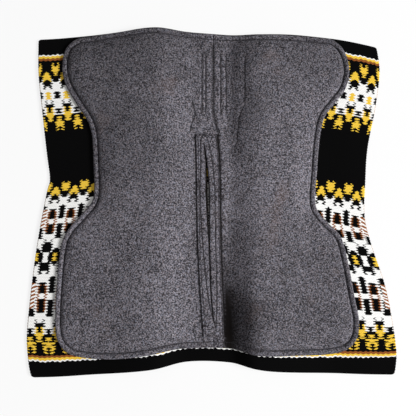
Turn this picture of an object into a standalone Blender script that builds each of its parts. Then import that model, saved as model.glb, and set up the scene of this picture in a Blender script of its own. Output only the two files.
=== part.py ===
"""Western saddle pad, lying felt side up, woven side down, the way it is set down to be looked at.

+Z is up, +Y points to the front of the pad, which goes over the horse's withers, and +X is its right
side as it lies. The origin is on the floor, under the middle of the pad's outline.

The pad is a stack. A thick woven blanket is the outer face, which carries the saddle. Two felt panels line
it, joined by a seam over the withers and open along a vent over the spine. A core of pressed felt fills
each panel, and stops short of the border and of the spine, so the pad folds there. A felt strip covers the
panels' inner edges. Thread holds it all together.

The two folds beside the strip are the pad's joints. Blanket and felt really run on through them, and are
parted here on those two lines, so that each side can swing up.
"""

import bisect
import math

import bmesh
import bpy
from mathutils import Vector

# Overall size of the blanket as it lies
PAD_WIDTH = 0.936
PAD_LENGTH = 0.917
CORNER_RADIUS = 0.010
CORNER_SEGMENTS = 3

# Thickness of the layers
BLANKET_THICKNESS = 0.006
SELVAGE_WIDTH = 0.005
SELVAGE_DROP = 0.0015
FELT_THICKNESS = 0.0045
CORE_RISE = 0.0115
STRIP_THICKNESS = 0.003
LAYER_GAP = 0.0008
SEAT_GAP = 0.0003
POCKET_GAP = 0.0006

# Folds beside the spine
FOLD_HALF = 0.044
FOLD_GAP = 0.0004

# Border of the felt panels, measured inwards from their edge
EDGE_ROUND = 0.004
EDGE_WALL = 0.0035
BAND_RISE = 0.003
GROOVE_START = 0.0125
GROOVE_WIDTH = 0.0040
GROOVE_FLOOR = 0.0030
POCKET_START = 0.022
CORE_INSET = 0.026
CORE_EDGE_RISE = 0.0046
SHOULDER = 0.037

# Channel between a fold and the core beside it
CHANNEL_FLAT = 0.006
CHANNEL_POCKET = 0.014
CHANNEL_CORE = 0.018
CHANNEL_SLOPE = 0.060

# Arch of each side over the floor, as the pad lies: crest, inner and outer reach, and height
LEFT_CREST = 0.150
RIGHT_CREST = 0.128
CREST_INNER_REACH = 0.082
CREST_OUTER_REACH = 0.190
ARCH_REAR = 0.020
ARCH_FRONT = 0.012
ARCH_WAIST = 0.009

# Spacing of the surface's grid
COLUMN_PITCH = 0.024
WIDE_COLUMN_PITCH = 0.048
FINE_COLUMNS = 6
ROW_PITCH = 0.0765
CUT_TOLERANCE = 0.0000001
SHARPEST_TURN_SHARE = 0.5
CREASE_ANGLE = math.radians(40)

# Spine strip: middle of its ends, and its width there
STRIP_FRONT_Y = 0.166
STRIP_REAR_Y = -0.358
STRIP_FRONT_X = -0.007
STRIP_REAR_X = 0.0085
STRIP_FRONT_WIDTH = 0.066
STRIP_REAR_WIDTH = 0.054
STRIP_EDGE = 0.0016
STRIP_EDGE_DROP = 0.0010
STRIP_SEAM_INSET = 0.0050
STRIP_GROOVE_HALF = 0.0012
STRIP_GROOVE_DEPTH = 0.0009

# Vent slit through strip and felt, and the stitch line round it
VENT_FRONT_Y = 0.127
VENT_REAR_Y = -0.311
VENT_FRONT_X = -0.0195
VENT_REAR_X = 0.0050
VENT_WIDTH = 0.0100
VENT_POINTS = 16
VENT_WIDEST_POWER = 0.75
SEAM_CUT = 0.0006
ALMOND_FRONT_Y = 0.156
ALMOND_REAR_Y = -0.330
ALMOND_FRONT_X = -0.0175
ALMOND_REAR_X = 0.0095
ALMOND_WIDTH = 0.031
ALMOND_POINTS = 18
ALMOND_WIDEST_POWER = 0.8
ALMOND_FULLNESS_POWER = 0.45
CUT_OVERRUN = 0.030

# Thread
THREAD_RADIUS = 0.0006
THREAD_SEAT = 0.0006
TACK_RADIUS = 0.0007
TACK_END_GAP = 0.0020
TACK_FIRST_Y = 0.091
TACK_PITCH = 0.0462
TACK_COUNT = 9

# Seam and stitched channels over the withers
SEAM_X = 0.005
SEAM_TURN_Y = 0.200
WITHER_FRONT_Y = 0.394
WITHER_REAR_Y = 0.217
WITHER_GROOVE_HALF = 0.0032
WITHER_GROOVE_DEPTH = 0.0013
WITHER_RUN_OUT = 0.012
WITHER_CHANNELS = (-0.026, -0.014, 0.023, 0.034)

# Outlines, as shares of half the pad's width and half its length. Front to rear on the sides, and left to
# right on the front and rear edges. The corners are their shared ends.
BLANKET_LEFT_SHARES = (
    (-1.0, 0.935), (-0.99, 0.72), (-0.96, 0.49), (-0.925, 0.24), (-0.905, 0.10), (-0.92, 0.02),
    (-0.96, -0.26), (-0.985, -0.52), (-1.0, -0.77), (-0.985, -0.92), (-0.965, -1.0),
)
BLANKET_REAR_SHARES = (
    (-0.965, -1.0), (-0.72, -0.99), (-0.34, -0.955), (-0.12, -0.915), (0.10, -0.92), (0.32, -0.96),
    (0.74, -0.98), (0.985, -0.985),
)
BLANKET_RIGHT_SHARES = (
    (0.985, -0.985), (1.0, -0.87), (0.985, -0.70), (0.95, -0.49), (0.89, -0.29), (0.853, -0.11),
    (0.865, 0.10), (0.885, 0.29), (0.935, 0.52), (0.967, 0.73), (0.955, 0.885),
)
BLANKET_FRONT_SHARES = (
    (0.955, 0.885), (0.73, 0.935), (0.50, 0.957), (0.22, 0.957), (-0.08, 0.978), (-0.33, 1.0),
    (-0.58, 0.97), (-0.84, 0.945), (-1.0, 0.935),
)
FELT_SHARES = (
    (-0.70, 0.945), (-0.775, 0.93), (-0.835, 0.87), (-0.853, 0.76), (-0.828, 0.65), (-0.765, 0.54),
    (-0.70, 0.44), (-0.672, 0.35), (-0.66, 0.20), (-0.651, 0.04), (-0.664, -0.035), (-0.72, -0.105),
    (-0.79, -0.19), (-0.825, -0.28), (-0.842, -0.48), (-0.845, -0.68), (-0.828, -0.80),
    (-0.77, -0.868), (-0.68, -0.893), (-0.54, -0.898), (-0.36, -0.878), (-0.17, -0.846),
    (0.09, -0.842), (0.25, -0.875), (0.44, -0.878), (0.62, -0.875), (0.725, -0.852), (0.785, -0.79),
    (0.80, -0.69), (0.78, -0.56), (0.748, -0.36), (0.715, -0.23), (0.65, -0.155), (0.595, -0.09),
    (0.578, -0.02), (0.592, 0.14), (0.61, 0.32), (0.64, 0.455), (0.70, 0.54), (0.765, 0.63),
    (0.79, 0.74), (0.765, 0.855), (0.70, 0.925), (0.61, 0.94), (0.42, 0.948), (0.20, 0.949),
    (-0.08, 0.970), (-0.33, 0.991), (-0.54, 0.968),
)
FELT_POINTS_PER_SPAN = 2
BLANKET_POINTS_PER_SPAN = 2

# Levels that the layers share
FELT_BASE = BLANKET_THICKNESS + LAYER_GAP
SPINE_TOP = FELT_BASE + FELT_THICKNESS
STRIP_BASE = SPINE_TOP + SEAT_GAP
STRIP_TOP = STRIP_BASE + STRIP_THICKNESS
FOLD_LEVEL = STRIP_BASE


def clear_scene():
    for obj in list(bpy.data.objects):
        bpy.data.objects.remove(obj, do_unlink=True)


def finish(name, color, roughness):
    """A plain finish for one kind of piece."""
    made = bpy.data.materials.get(name)
    if made:
        return made
    made = bpy.data.materials.new(name)
    made.use_nodes = True
    shader = made.node_tree.nodes["Principled BSDF"]
    shader.inputs["Base Color"].default_value = (*color, 1)
    shader.inputs["Roughness"].default_value = roughness
    shader.inputs["Metallic"].default_value = 0
    return made


def woven_wool():
    return finish("woven_wool", (0.022, 0.020, 0.020), 0.9)


def charcoal_felt():
    return finish("charcoal_felt", (0.085, 0.080, 0.090), 0.95)


def pressed_felt():
    return finish("pressed_felt", (0.30, 0.29, 0.28), 0.95)


def sewing_thread():
    return finish("sewing_thread", (0.045, 0.042, 0.048), 0.7)


def curve_through(points, per_span, closed):
    """Points along a smooth curve through the given points."""
    count = len(points)
    found = []
    for index in range(count if closed else count - 1):
        if closed:
            near = [points[(index + step) % count] for step in (-1, 0, 1, 2)]
        else:
            near = [points[min(max(index + step, 0), count - 1)] for step in (-1, 0, 1, 2)]
        before, start, end, after = [Vector(point) for point in near]
        for step in range(per_span):
            t = step / per_span
            found.append(
                start
                + (end - before) * (t / 2)
                + (before * 2 - start * 5 + end * 4 - after) * (t * t / 2)
                + (start * 3 - before - end * 3 + after) * (t ** 3 / 2)
            )
    if not closed:
        found.append(Vector(points[-1]))
    return found


def placed(shares):
    return [(x * PAD_WIDTH / 2, y * PAD_LENGTH / 2) for x, y in shares]


def blanket_outline():
    """The blanket's edge, with its four corners still sharp."""
    edge = []
    for shares in (BLANKET_LEFT_SHARES, BLANKET_REAR_SHARES, BLANKET_RIGHT_SHARES, BLANKET_FRONT_SHARES):
        edge += curve_through(placed(shares), BLANKET_POINTS_PER_SPAN, False)[:-1]
    return edge


def felt_outline():
    return curve_through(placed(FELT_SHARES), FELT_POINTS_PER_SPAN, True)


def inside_line(outline, distance):
    """A closed line at one distance inside an outline that runs anticlockwise."""
    line = []
    count = len(outline)
    for index, point in enumerate(outline):
        back = (point - outline[index - 1]).normalized()
        ahead = (outline[(index + 1) % count] - point).normalized()
        along = (back + ahead).normalized()
        inwards = Vector((-along.y, along.x))
        spread = max(back.dot(along), SHARPEST_TURN_SHARE)
        line.append(point + inwards * (distance / spread))
    return line


def distance_to(outline, x, y):
    """Distance from a point to the nearest stretch of an outline."""
    best = PAD_WIDTH
    for index, end in enumerate(outline):
        start = outline[index - 1]
        run_x, run_y = end.x - start.x, end.y - start.y
        length = run_x * run_x + run_y * run_y
        t = ((x - start.x) * run_x + (y - start.y) * run_y) / length
        t = min(max(t, 0), 1)
        best = min(best, math.hypot(x - start.x - run_x * t, y - start.y - run_y * t))
    return best


def column_lines():
    """Where the surface's grid is cut across the pad, on the right of its middle."""
    lines = [FOLD_HALF + CHANNEL_POCKET, FOLD_HALF + CHANNEL_CORE]
    for _ in range(FINE_COLUMNS):
        lines.append(lines[-1] + COLUMN_PITCH)
    while lines[-1] + WIDE_COLUMN_PITCH < PAD_WIDTH / 2:
        lines.append(lines[-1] + WIDE_COLUMN_PITCH)
    return lines


def row_lines():
    rows = int(PAD_LENGTH / 2 / ROW_PITCH)
    return [index * ROW_PITCH for index in range(-rows, rows + 1)]


RIGHT_COLUMNS = column_lines()
COLUMNS = [-x for x in reversed(RIGHT_COLUMNS)] + [-FOLD_HALF, FOLD_HALF] + RIGHT_COLUMNS
ROWS = row_lines()
FELT_EDGE = felt_outline()
BORDER_RINGS = (EDGE_ROUND, GROOVE_START, GROOVE_START + GROOVE_WIDTH, POCKET_START, CORE_INSET)


def bell(distance, reach):
    """1 at the crest, and 0 at its reach and beyond, with a smooth top and foot."""
    t = min(abs(distance) / reach, 1)
    return 0.5 + 0.5 * math.cos(math.pi * t)


def arch_height(y):
    """How high a crest stands at one place along the pad."""
    t = y / (PAD_LENGTH / 2)
    end = ARCH_FRONT if t > 0 else ARCH_REAR
    return ARCH_WAIST + (end - ARCH_WAIST) * math.sin(min(abs(t), 1) * math.pi / 2)


def arch(x, y):
    crest = RIGHT_CREST if x > 0 else LEFT_CREST
    from_crest = abs(x) - crest
    reach = CREST_OUTER_REACH if from_crest > 0 else CREST_INNER_REACH
    return arch_height(y) * bell(from_crest, reach)


def between(lines, value):
    """The two grid lines round a value, and its share of the way between them."""
    index = min(max(bisect.bisect_right(lines, value) - 1, 0), len(lines) - 2)
    low, high = lines[index], lines[index + 1]
    return low, high, min(max((value - low) / (high - low), 0), 1)


def lift(x, y):
    """How far the pad is arched off the floor here. It runs straight between the grid's lines."""
    left, right, across = between(COLUMNS, x)
    rear, front, along = between(ROWS, y)
    near = arch(left, rear) * (1 - across) + arch(right, rear) * across
    far = arch(left, front) * (1 - across) + arch(right, front) * across
    return near * (1 - along) + far * along


def through(steps, value):
    """A value read from steps of (place, height), straight between them."""
    if value <= steps[0][0]:
        return steps[0][1]
    for (low, start), (high, end) in zip(steps, steps[1:]):
        if value <= high:
            return start + (end - start) * (value - low) / (high - low)
    return steps[-1][1]


def channel_share(x):
    """0 on the spine, and 1 where a panel is as thick as its core makes it."""
    t = (abs(x) - FOLD_HALF - CHANNEL_FLAT) / (CHANNEL_SLOPE - CHANNEL_FLAT)
    t = min(max(t, 0), 1)
    return 1 - (1 - t) ** 2


def felt_height(x, y):
    """Thickness of felt and core over the blanket: a round border, a sewn groove and the filled panel."""
    filled = channel_share(x)
    full = FELT_THICKNESS + CORE_RISE * filled
    band = FELT_THICKNESS + BAND_RISE * filled
    edge = FELT_THICKNESS + min(CORE_EDGE_RISE, CORE_RISE * filled)
    steps = (
        (0, EDGE_WALL),
        (EDGE_ROUND, band),
        (GROOVE_START, GROOVE_FLOOR),
        (GROOVE_START + GROOVE_WIDTH, GROOVE_FLOOR),
        (CORE_INSET, edge),
        (SHOULDER, full),
    )
    return through(steps, distance_to(FELT_EDGE, x, y))


def felt_top(x, y):
    return FELT_BASE + lift(x, y) + felt_height(x, y)


def cover_underside(x, y):
    """Flat on the blanket at the border and the channel, and raised over the core."""
    inside = through(((POCKET_START, 0), (CORE_INSET, 1)), distance_to(FELT_EDGE, x, y))
    beside = through(((CHANNEL_POCKET, 0), (CHANNEL_CORE, 1)), abs(x) - FOLD_HALF)
    raised = felt_height(x, y) - FELT_THICKNESS
    return FELT_BASE + lift(x, y) + raised * min(inside, beside)


def core_top(x, y):
    return felt_top(x, y) - FELT_THICKNESS - POCKET_GAP


def wither_rows():
    """Where the stitched channels over the withers start, reach their depth, leave it and end."""
    return (WITHER_REAR_Y, WITHER_REAR_Y + WITHER_RUN_OUT, WITHER_FRONT_Y - WITHER_RUN_OUT, WITHER_FRONT_Y)


def spine_groove(x, y):
    """Depth of the stitched channels over the withers."""
    nearest = min(abs(x - channel) for channel in WITHER_CHANNELS)
    across = max(0, 1 - nearest / WITHER_GROOVE_HALF)
    return WITHER_GROOVE_DEPTH * across * through(tuple(zip(wither_rows(), (0, 1, 1, 0))), y)


def spine_felt_top(x, y):
    return felt_top(x, y) - spine_groove(x, y)


def flat_face(outline):
    shape = bmesh.new()
    shape.faces.new([shape.verts.new((point.x, point.y, 0)) for point in outline])
    shape.normal_update()
    return shape


def inset_rings(shape, distances, reached=0):
    """Rings at these distances inside the shape's one face, which stays as the middle."""
    middle = shape.faces[:][0]
    for distance in distances:
        bmesh.ops.inset_region(
            shape, faces=[middle], thickness=distance - reached, use_even_offset=True, use_boundary=True
        )
        reached = distance
    return middle


def cut_lines(shape, columns, rows):
    for direction, places in ((Vector((1, 0, 0)), columns), (Vector((0, 1, 0)), rows)):
        for place in places:
            bmesh.ops.bisect_plane(
                shape,
                geom=shape.verts[:] + shape.edges[:] + shape.faces[:],
                dist=CUT_TOLERANCE,
                plane_co=direction * place,
                plane_no=direction,
            )


def keep_between(shape, low, high):
    """Cuts away what lies outside two lines across the pad."""
    for place, outwards in ((low, -1), (high, 1)):
        bmesh.ops.bisect_plane(
            shape,
            geom=shape.verts[:] + shape.edges[:] + shape.faces[:],
            dist=CUT_TOLERANCE,
            plane_co=Vector((place, 0, 0)),
            plane_no=Vector((outwards, 0, 0)),
            clear_outer=True,
        )


def face_outwards(shape):
    bmesh.ops.recalc_face_normals(shape, faces=shape.faces[:])
    if shape.calc_volume(signed=True) < 0:
        bmesh.ops.reverse_faces(shape, faces=shape.faces[:])


def thicken(shape, underside, top):
    """Turns a flat sheet into a solid between two surfaces."""
    bmesh.ops.triangulate(shape, faces=shape.faces[:], quad_method="SHORT_EDGE")
    lower = shape.verts[:]
    places = [(vert.co.x, vert.co.y) for vert in lower]
    made = bmesh.ops.extrude_face_region(
        shape, geom=shape.verts[:] + shape.edges[:] + shape.faces[:], use_keep_orig=True
    )
    upper = [item for item in made["geom"] if isinstance(item, bmesh.types.BMVert)]
    for vert in upper:
        vert.co.z = top(vert.co.x, vert.co.y)
    for vert, (x, y) in zip(lower, places):
        vert.co.z = underside(x, y)
    face_outwards(shape)


def add_piece(name, shape, look):
    mesh = bpy.data.meshes.new(name)
    shape.to_mesh(mesh)
    shape.free()
    mesh.shade_smooth()
    mesh.set_sharp_from_angle(angle=CREASE_ANGLE)
    mesh.materials.append(look)
    piece = bpy.data.objects.new(name, mesh)
    bpy.context.collection.objects.link(piece)
    return piece


def hang_on(piece, hinge):
    """Parents a piece to its fold, and leaves it where it is."""
    piece.parent = hinge
    piece.location = -hinge.location


def fold_hinge(name, x):
    hinge = bpy.data.objects.new(name, None)
    hinge.location = (x, 0, FOLD_LEVEL)
    hinge.empty_display_size = FOLD_HALF
    bpy.context.collection.objects.link(hinge)
    return hinge


def side_limits(side):
    """What one side covers, across the pad. Side is -1 for left, 1 for right and 0 for the spine."""
    inner = FOLD_HALF + FOLD_GAP / 2
    if side == 0:
        return FOLD_GAP / 2 - FOLD_HALF, FOLD_HALF - FOLD_GAP / 2
    if side < 0:
        return -PAD_WIDTH, -inner
    return inner, PAD_WIDTH


def blanket_top(edge, x, y):
    drop = through(((0, SELVAGE_DROP), (SELVAGE_WIDTH, 0)), distance_to(edge, x, y))
    return lift(x, y) + BLANKET_THICKNESS - drop


def round_corners(shape):
    """Rounds the blanket's four corners, where two of its edges meet."""
    for x, y in placed((BLANKET_LEFT_SHARES[0], BLANKET_REAR_SHARES[0], BLANKET_RIGHT_SHARES[0],
                        BLANKET_FRONT_SHARES[0])):
        shape.verts.ensure_lookup_table()
        corner = min(shape.verts, key=lambda vert: math.hypot(vert.co.x - x, vert.co.y - y))
        bmesh.ops.bevel(
            shape, geom=[corner], offset=CORNER_RADIUS, offset_type="OFFSET",
            segments=CORNER_SEGMENTS, profile=0.5, affect="VERTICES", material=-1,
        )


def blanket_part(name, side):
    """One part of the woven blanket, with a thinner selvage round its edge."""
    shape = flat_face(blanket_outline())
    round_corners(shape)
    face = shape.faces[:][0]
    edge = [loop.vert.co.xy.copy() for loop in face.loops]
    inset_rings(shape, (SELVAGE_WIDTH,))
    cut_lines(shape, COLUMNS, ROWS)
    keep_between(shape, *side_limits(side))
    thicken(shape, lift, lambda x, y: blanket_top(edge, x, y))
    return add_piece(name, shape, woven_wool())


def felt_cover(name, side):
    """The felt over one core, sewn down round its border."""
    shape = flat_face(FELT_EDGE)
    inset_rings(shape, BORDER_RINGS + (SHOULDER,))
    cut_lines(shape, COLUMNS, ROWS)
    keep_between(shape, *side_limits(side))
    thicken(shape, cover_underside, felt_top)
    return add_piece(name, shape, charcoal_felt())


def core(name, side):
    """The pressed felt inside one panel."""
    shape = flat_face(FELT_EDGE)
    middle = inset_rings(shape, BORDER_RINGS)
    bmesh.ops.delete(shape, geom=[face for face in shape.faces if face != middle], context="FACES")
    inset_rings(shape, (SHOULDER,), CORE_INSET)
    cut_lines(shape, COLUMNS, ROWS)
    inner = FOLD_HALF + CHANNEL_CORE
    keep_between(shape, *((-PAD_WIDTH, -inner) if side < 0 else (inner, PAD_WIDTH)))
    thicken(shape, lambda x, y: FELT_BASE + lift(x, y), core_top)
    return add_piece(name, shape, pressed_felt())


def vent_middle(t):
    """A point on the slit's middle line. The share runs from 0 at its front end to 1 at its rear end."""
    return Vector((
        VENT_FRONT_X + (VENT_REAR_X - VENT_FRONT_X) * t,
        VENT_FRONT_Y + (VENT_REAR_Y - VENT_FRONT_Y) * t,
    ))


def vent_half_width(t):
    """Widest a third of the way back, and tapering to both ends."""
    return SEAM_CUT / 2 + (VENT_WIDTH - SEAM_CUT) / 2 * math.sin(math.pi * t ** VENT_WIDEST_POWER)


def vent_side(side):
    """One lip of the slit, from front to rear."""
    steps = [index / VENT_POINTS for index in range(VENT_POINTS + 1)]
    return [vent_middle(t) + Vector((side * vent_half_width(t), 0)) for t in steps]


def prism(name, outline, low, high):
    """A cutter with this outline, left out of the model."""
    shape = flat_face(outline)
    made = bmesh.ops.extrude_face_region(
        shape, geom=shape.verts[:] + shape.edges[:] + shape.faces[:], use_keep_orig=True
    )
    for vert in shape.verts:
        vert.co.z = low
    for item in made["geom"]:
        if isinstance(item, bmesh.types.BMVert):
            item.co.z = high
    face_outwards(shape)
    mesh = bpy.data.meshes.new(name)
    shape.to_mesh(mesh)
    shape.free()
    cutter = bpy.data.objects.new(name, mesh)
    cutter.hide_render = True
    cutter.display_type = "WIRE"
    bpy.context.collection.objects.link(cutter)
    return cutter


def seam_cutter():
    """Parts the lining down its middle: a fine seam over the withers, the slit, and the seam behind it."""
    half = Vector((SEAM_CUT / 2, 0))
    reach = PAD_LENGTH / 2 + CUT_OVERRUN
    front = [Vector((SEAM_X, reach)), Vector((SEAM_X, SEAM_TURN_Y))]
    rear = [Vector((VENT_REAR_X, -reach))]
    left = [point - half for point in front] + vent_side(-1) + [point - half for point in rear]
    right = [point + half for point in front] + vent_side(1) + [point + half for point in rear]
    return prism("seam_cutter", left + right[::-1], -CUT_OVERRUN, CUT_OVERRUN)


def vent_cutter():
    outline = vent_side(-1) + vent_side(1)[::-1]
    return prism("vent_cutter", outline, -CUT_OVERRUN, CUT_OVERRUN)


def cut_away(piece, cutter):
    """Subtracts a cutter, and gives the result as a new bmesh."""
    change = piece.modifiers.new("cut", "BOOLEAN")
    change.operation = "DIFFERENCE"
    change.solver = "EXACT"
    change.object = cutter
    bpy.context.view_layer.update()
    result = bmesh.new()
    result.from_object(piece, bpy.context.evaluated_depsgraph_get())
    bpy.data.objects.remove(piece, do_unlink=True)
    return result


def islands(shape):
    """Groups of faces that hang together."""
    left = set(shape.faces)
    groups = []
    while left:
        group = set()
        edge = [left.pop()]
        while edge:
            face = edge.pop()
            group.add(face)
            near = {other for line in face.edges for other in line.link_faces} & left
            left -= near
            edge += near
        groups.append(group)
    return groups


def spine_felts():
    """The inner margins of the two felt panels, between the folds."""
    grooves = [channel + offset * WITHER_GROOVE_HALF for channel in WITHER_CHANNELS for offset in (-1, 0, 1)]
    shape = flat_face(FELT_EDGE)
    inset_rings(shape, BORDER_RINGS[:-2])
    cut_lines(shape, grooves, wither_rows())
    keep_between(shape, *side_limits(0))
    thicken(shape, lambda x, y: FELT_BASE, spine_felt_top)
    whole = add_piece("lining_margins", shape, charcoal_felt())
    cut = cut_away(whole, seam_cutter())
    groups = islands(cut)
    groups.sort(key=lambda group: sum(face.calc_center_median().x for face in group) / len(group))
    pieces = []
    for name, group in zip(("felt_margin_left", "felt_margin_right"), groups):
        half = cut.copy()
        half.faces.ensure_lookup_table()
        wanted = {face.index for face in group}
        spare = [face for face in half.faces if face.index not in wanted]
        bmesh.ops.delete(half, geom=spare, context="FACES")
        pieces.append(add_piece(name, half, charcoal_felt()))
    cut.free()
    return pieces


def strip_outline():
    half_front, half_rear = STRIP_FRONT_WIDTH / 2, STRIP_REAR_WIDTH / 2
    return [
        Vector((STRIP_FRONT_X - half_front, STRIP_FRONT_Y)),
        Vector((STRIP_REAR_X - half_rear, STRIP_REAR_Y)),
        Vector((STRIP_REAR_X + half_rear, STRIP_REAR_Y)),
        Vector((STRIP_FRONT_X + half_front, STRIP_FRONT_Y)),
    ]


def strip_top(x, y):
    """Rounded at the edge, with a sewn groove inside it."""
    steps = (
        (0, STRIP_TOP - STRIP_EDGE_DROP),
        (STRIP_EDGE, STRIP_TOP),
        (STRIP_SEAM_INSET - STRIP_GROOVE_HALF, STRIP_TOP),
        (STRIP_SEAM_INSET, STRIP_TOP - STRIP_GROOVE_DEPTH),
        (STRIP_SEAM_INSET + STRIP_GROOVE_HALF, STRIP_TOP),
    )
    return through(steps, distance_to(strip_outline(), x, y))


def spine_strip():
    """The felt strip over the panels' inner edges, open along the vent."""
    shape = flat_face(strip_outline())
    inset_rings(shape, (STRIP_EDGE, STRIP_SEAM_INSET - STRIP_GROOVE_HALF, STRIP_SEAM_INSET,
                        STRIP_SEAM_INSET + STRIP_GROOVE_HALF))
    thicken(shape, lambda x, y: STRIP_BASE, strip_top)
    whole = add_piece("strip_blank", shape, charcoal_felt())
    return add_piece("spine_strip", cut_away(whole, vent_cutter()), charcoal_felt())


def on_grid(path, closed):
    """The path with a point added wherever it crosses a line of the surface's grid."""
    found = []
    count = len(path)
    for index in range(count if closed else count - 1):
        start, end = path[index], path[(index + 1) % count]
        shares = {0.0}
        for places, low, high in ((COLUMNS, start.x, end.x), (ROWS, start.y, end.y)):
            crossed = [place for place in places if min(low, high) < place < max(low, high)]
            shares |= {(place - low) / (high - low) for place in crossed}
        found += [start.lerp(end, share) for share in sorted(shares)]
    if not closed:
        found.append(path[-1])
    return found


def runs_between(path, low, high):
    """The stretches of a closed path that lie between two lines across the pad, each cut off on them."""
    runs, run = [], []
    first = next(index for index, point in enumerate(path) if not low < point.x < high)
    order = path[first:] + path[:first + 1]
    for start, end in zip(order, order[1:]):
        for limit in (low, high):
            if (start.x - limit) * (end.x - limit) < 0:
                run.append(start.lerp(end, (limit - start.x) / (end.x - start.x)))
                if low < start.x < high:
                    runs.append(run)
                    run = []
        if low < end.x < high:
            run.append(end)
    return runs


def thread(name, path, level, radius, closed=False):
    """Sewing thread along a path, at the level that a function of the place gives."""
    curve = bpy.data.curves.new(name, "CURVE")
    curve.dimensions = "3D"
    curve.bevel_depth = radius
    curve.bevel_resolution = 0
    curve.use_fill_caps = True
    spline = curve.splines.new("POLY")
    spline.points.add(len(path) - 1)
    for point, place in zip(spline.points, path):
        point.co = (place.x, place.y, level(place.x, place.y), 1)
    spline.use_cyclic_u = closed
    curve.materials.append(sewing_thread())
    piece = bpy.data.objects.new(name, curve)
    bpy.context.collection.objects.link(piece)
    return piece


def border_level(x, y):
    return FELT_BASE + lift(x, y) + GROOVE_FLOOR + THREAD_SEAT + THREAD_RADIUS


def border_threads(names, side):
    """The seam round the felt panels, in the bottom of their groove. The spine has one run at each end."""
    seam = on_grid(inside_line(FELT_EDGE, GROOVE_START + GROOVE_WIDTH / 2), True)
    low, high = side_limits(side)
    runs = runs_between(seam, low + FOLD_GAP, high - FOLD_GAP)
    runs.sort(key=lambda run: -run[0].y)
    return [thread(name, run, border_level, THREAD_RADIUS) for name, run in zip(names, runs)]


def strip_thread():
    """The seam round the spine strip, in its groove."""
    path = inside_line(strip_outline(), STRIP_SEAM_INSET)
    level = STRIP_TOP - STRIP_GROOVE_DEPTH + SEAT_GAP + THREAD_RADIUS * 2
    return thread("strip_stitching", path, lambda x, y: level, THREAD_RADIUS, True)


def almond_point(t, side, inwards=0):
    """A point on the almond-shaped seam. The share runs from 0 at its front tip to 1 at its rear tip."""
    front = Vector((ALMOND_FRONT_X, ALMOND_FRONT_Y))
    rear = Vector((ALMOND_REAR_X, ALMOND_REAR_Y))
    half = ALMOND_WIDTH / 2 * math.sin(math.pi * t ** ALMOND_WIDEST_POWER) ** ALMOND_FULLNESS_POWER
    return front.lerp(rear, t) + Vector((side * (half - inwards), 0))


def vent_thread():
    """The almond-shaped seam round the vent."""
    steps = [index / ALMOND_POINTS for index in range(ALMOND_POINTS)]
    path = [almond_point(t, -1) for t in steps] + [almond_point(1 - t, 1) for t in steps]
    level = STRIP_TOP + SEAT_GAP + THREAD_RADIUS
    return thread("vent_stitching", path, lambda x, y: level, THREAD_RADIUS, True)


def vent_tacks():
    """Short bars of thread over the slit, which hold its lips together."""
    level = STRIP_TOP + SEAT_GAP + TACK_RADIUS
    for index in range(TACK_COUNT):
        y = TACK_FIRST_Y - index * TACK_PITCH
        t = (ALMOND_FRONT_Y - y) / (ALMOND_FRONT_Y - ALMOND_REAR_Y)
        bar = [almond_point(t, side, TACK_END_GAP) for side in (-1, 1)]
        thread(f"vent_tack_{index + 1}", bar, lambda x, y: level, TACK_RADIUS)


def wither_threads():
    """The seams that draw the felt into channels over the withers."""
    level = SPINE_TOP - WITHER_GROOVE_DEPTH + SEAT_GAP + THREAD_RADIUS * 2
    rear, front = wither_rows()[1:3]
    for index, channel in enumerate(WITHER_CHANNELS):
        line = [Vector((channel, front)), Vector((channel, rear))]
        thread(f"wither_stitching_{index + 1}", line, lambda x, y: level, THREAD_RADIUS)


def build():
    clear_scene()
    blanket_part("blanket_spine_band", 0)
    spine_felts()
    spine_strip()
    strip_thread()
    vent_thread()
    vent_tacks()
    wither_threads()
    border_threads(("border_stitching_front", "border_stitching_rear"), 0)
    for word, side in (("left", -1), ("right", 1)):
        hinge = fold_hinge(f"{word}_fold", side * FOLD_HALF)
        hang_on(blanket_part(f"blanket_{word}", side), hinge)
        hang_on(core(f"felt_core_{word}", side), hinge)
        hang_on(felt_cover(f"felt_panel_{word}", side), hinge)
        hang_on(border_threads((f"border_stitching_{word}",), side)[0], hinge)
    for cutter in [obj for obj in bpy.data.objects if obj.name.endswith("_cutter")]:
        bpy.data.objects.remove(cutter, do_unlink=True)


build()
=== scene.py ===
# %% [markdown]
# # A western saddle pad
# The pad lies with its horse side up. A thick woven wool blanket is underneath, with a stepped pattern in
# black, white, golden yellow and rust. Two charcoal felt panels, cut like a butterfly, are sewn on it over
# pressed cores, and meet over the spine under a felt strip with a long vent. This lesson dresses the packed
# solids: every soft solid is replaced by a piece with its real folds, seams and cloth.

# %% Load the frame
import math

import bmesh
import bpy
import numpy as np
from mathutils import Matrix, Vector
from mathutils.kdtree import KDTree


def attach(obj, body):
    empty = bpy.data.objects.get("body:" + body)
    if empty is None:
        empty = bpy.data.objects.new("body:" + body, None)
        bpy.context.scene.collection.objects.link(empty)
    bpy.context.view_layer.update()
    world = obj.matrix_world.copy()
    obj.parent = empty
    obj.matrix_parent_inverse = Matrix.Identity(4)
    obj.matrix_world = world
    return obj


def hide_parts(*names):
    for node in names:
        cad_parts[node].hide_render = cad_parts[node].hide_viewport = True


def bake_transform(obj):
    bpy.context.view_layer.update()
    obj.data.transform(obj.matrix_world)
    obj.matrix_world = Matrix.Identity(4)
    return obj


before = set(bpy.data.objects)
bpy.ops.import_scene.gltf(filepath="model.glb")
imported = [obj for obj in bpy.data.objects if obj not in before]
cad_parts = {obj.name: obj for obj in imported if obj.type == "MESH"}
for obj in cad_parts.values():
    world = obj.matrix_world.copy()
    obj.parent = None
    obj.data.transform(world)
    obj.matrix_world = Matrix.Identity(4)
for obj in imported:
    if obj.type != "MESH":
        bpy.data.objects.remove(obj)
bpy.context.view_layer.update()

# %% [markdown]
# ## Camera
# The photograph looks almost straight down on the pad. The rear edge is a little nearer to the camera, so
# the camera stands 6.5 degrees back from upright. Its place and lens were worked out from the outline.

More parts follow.
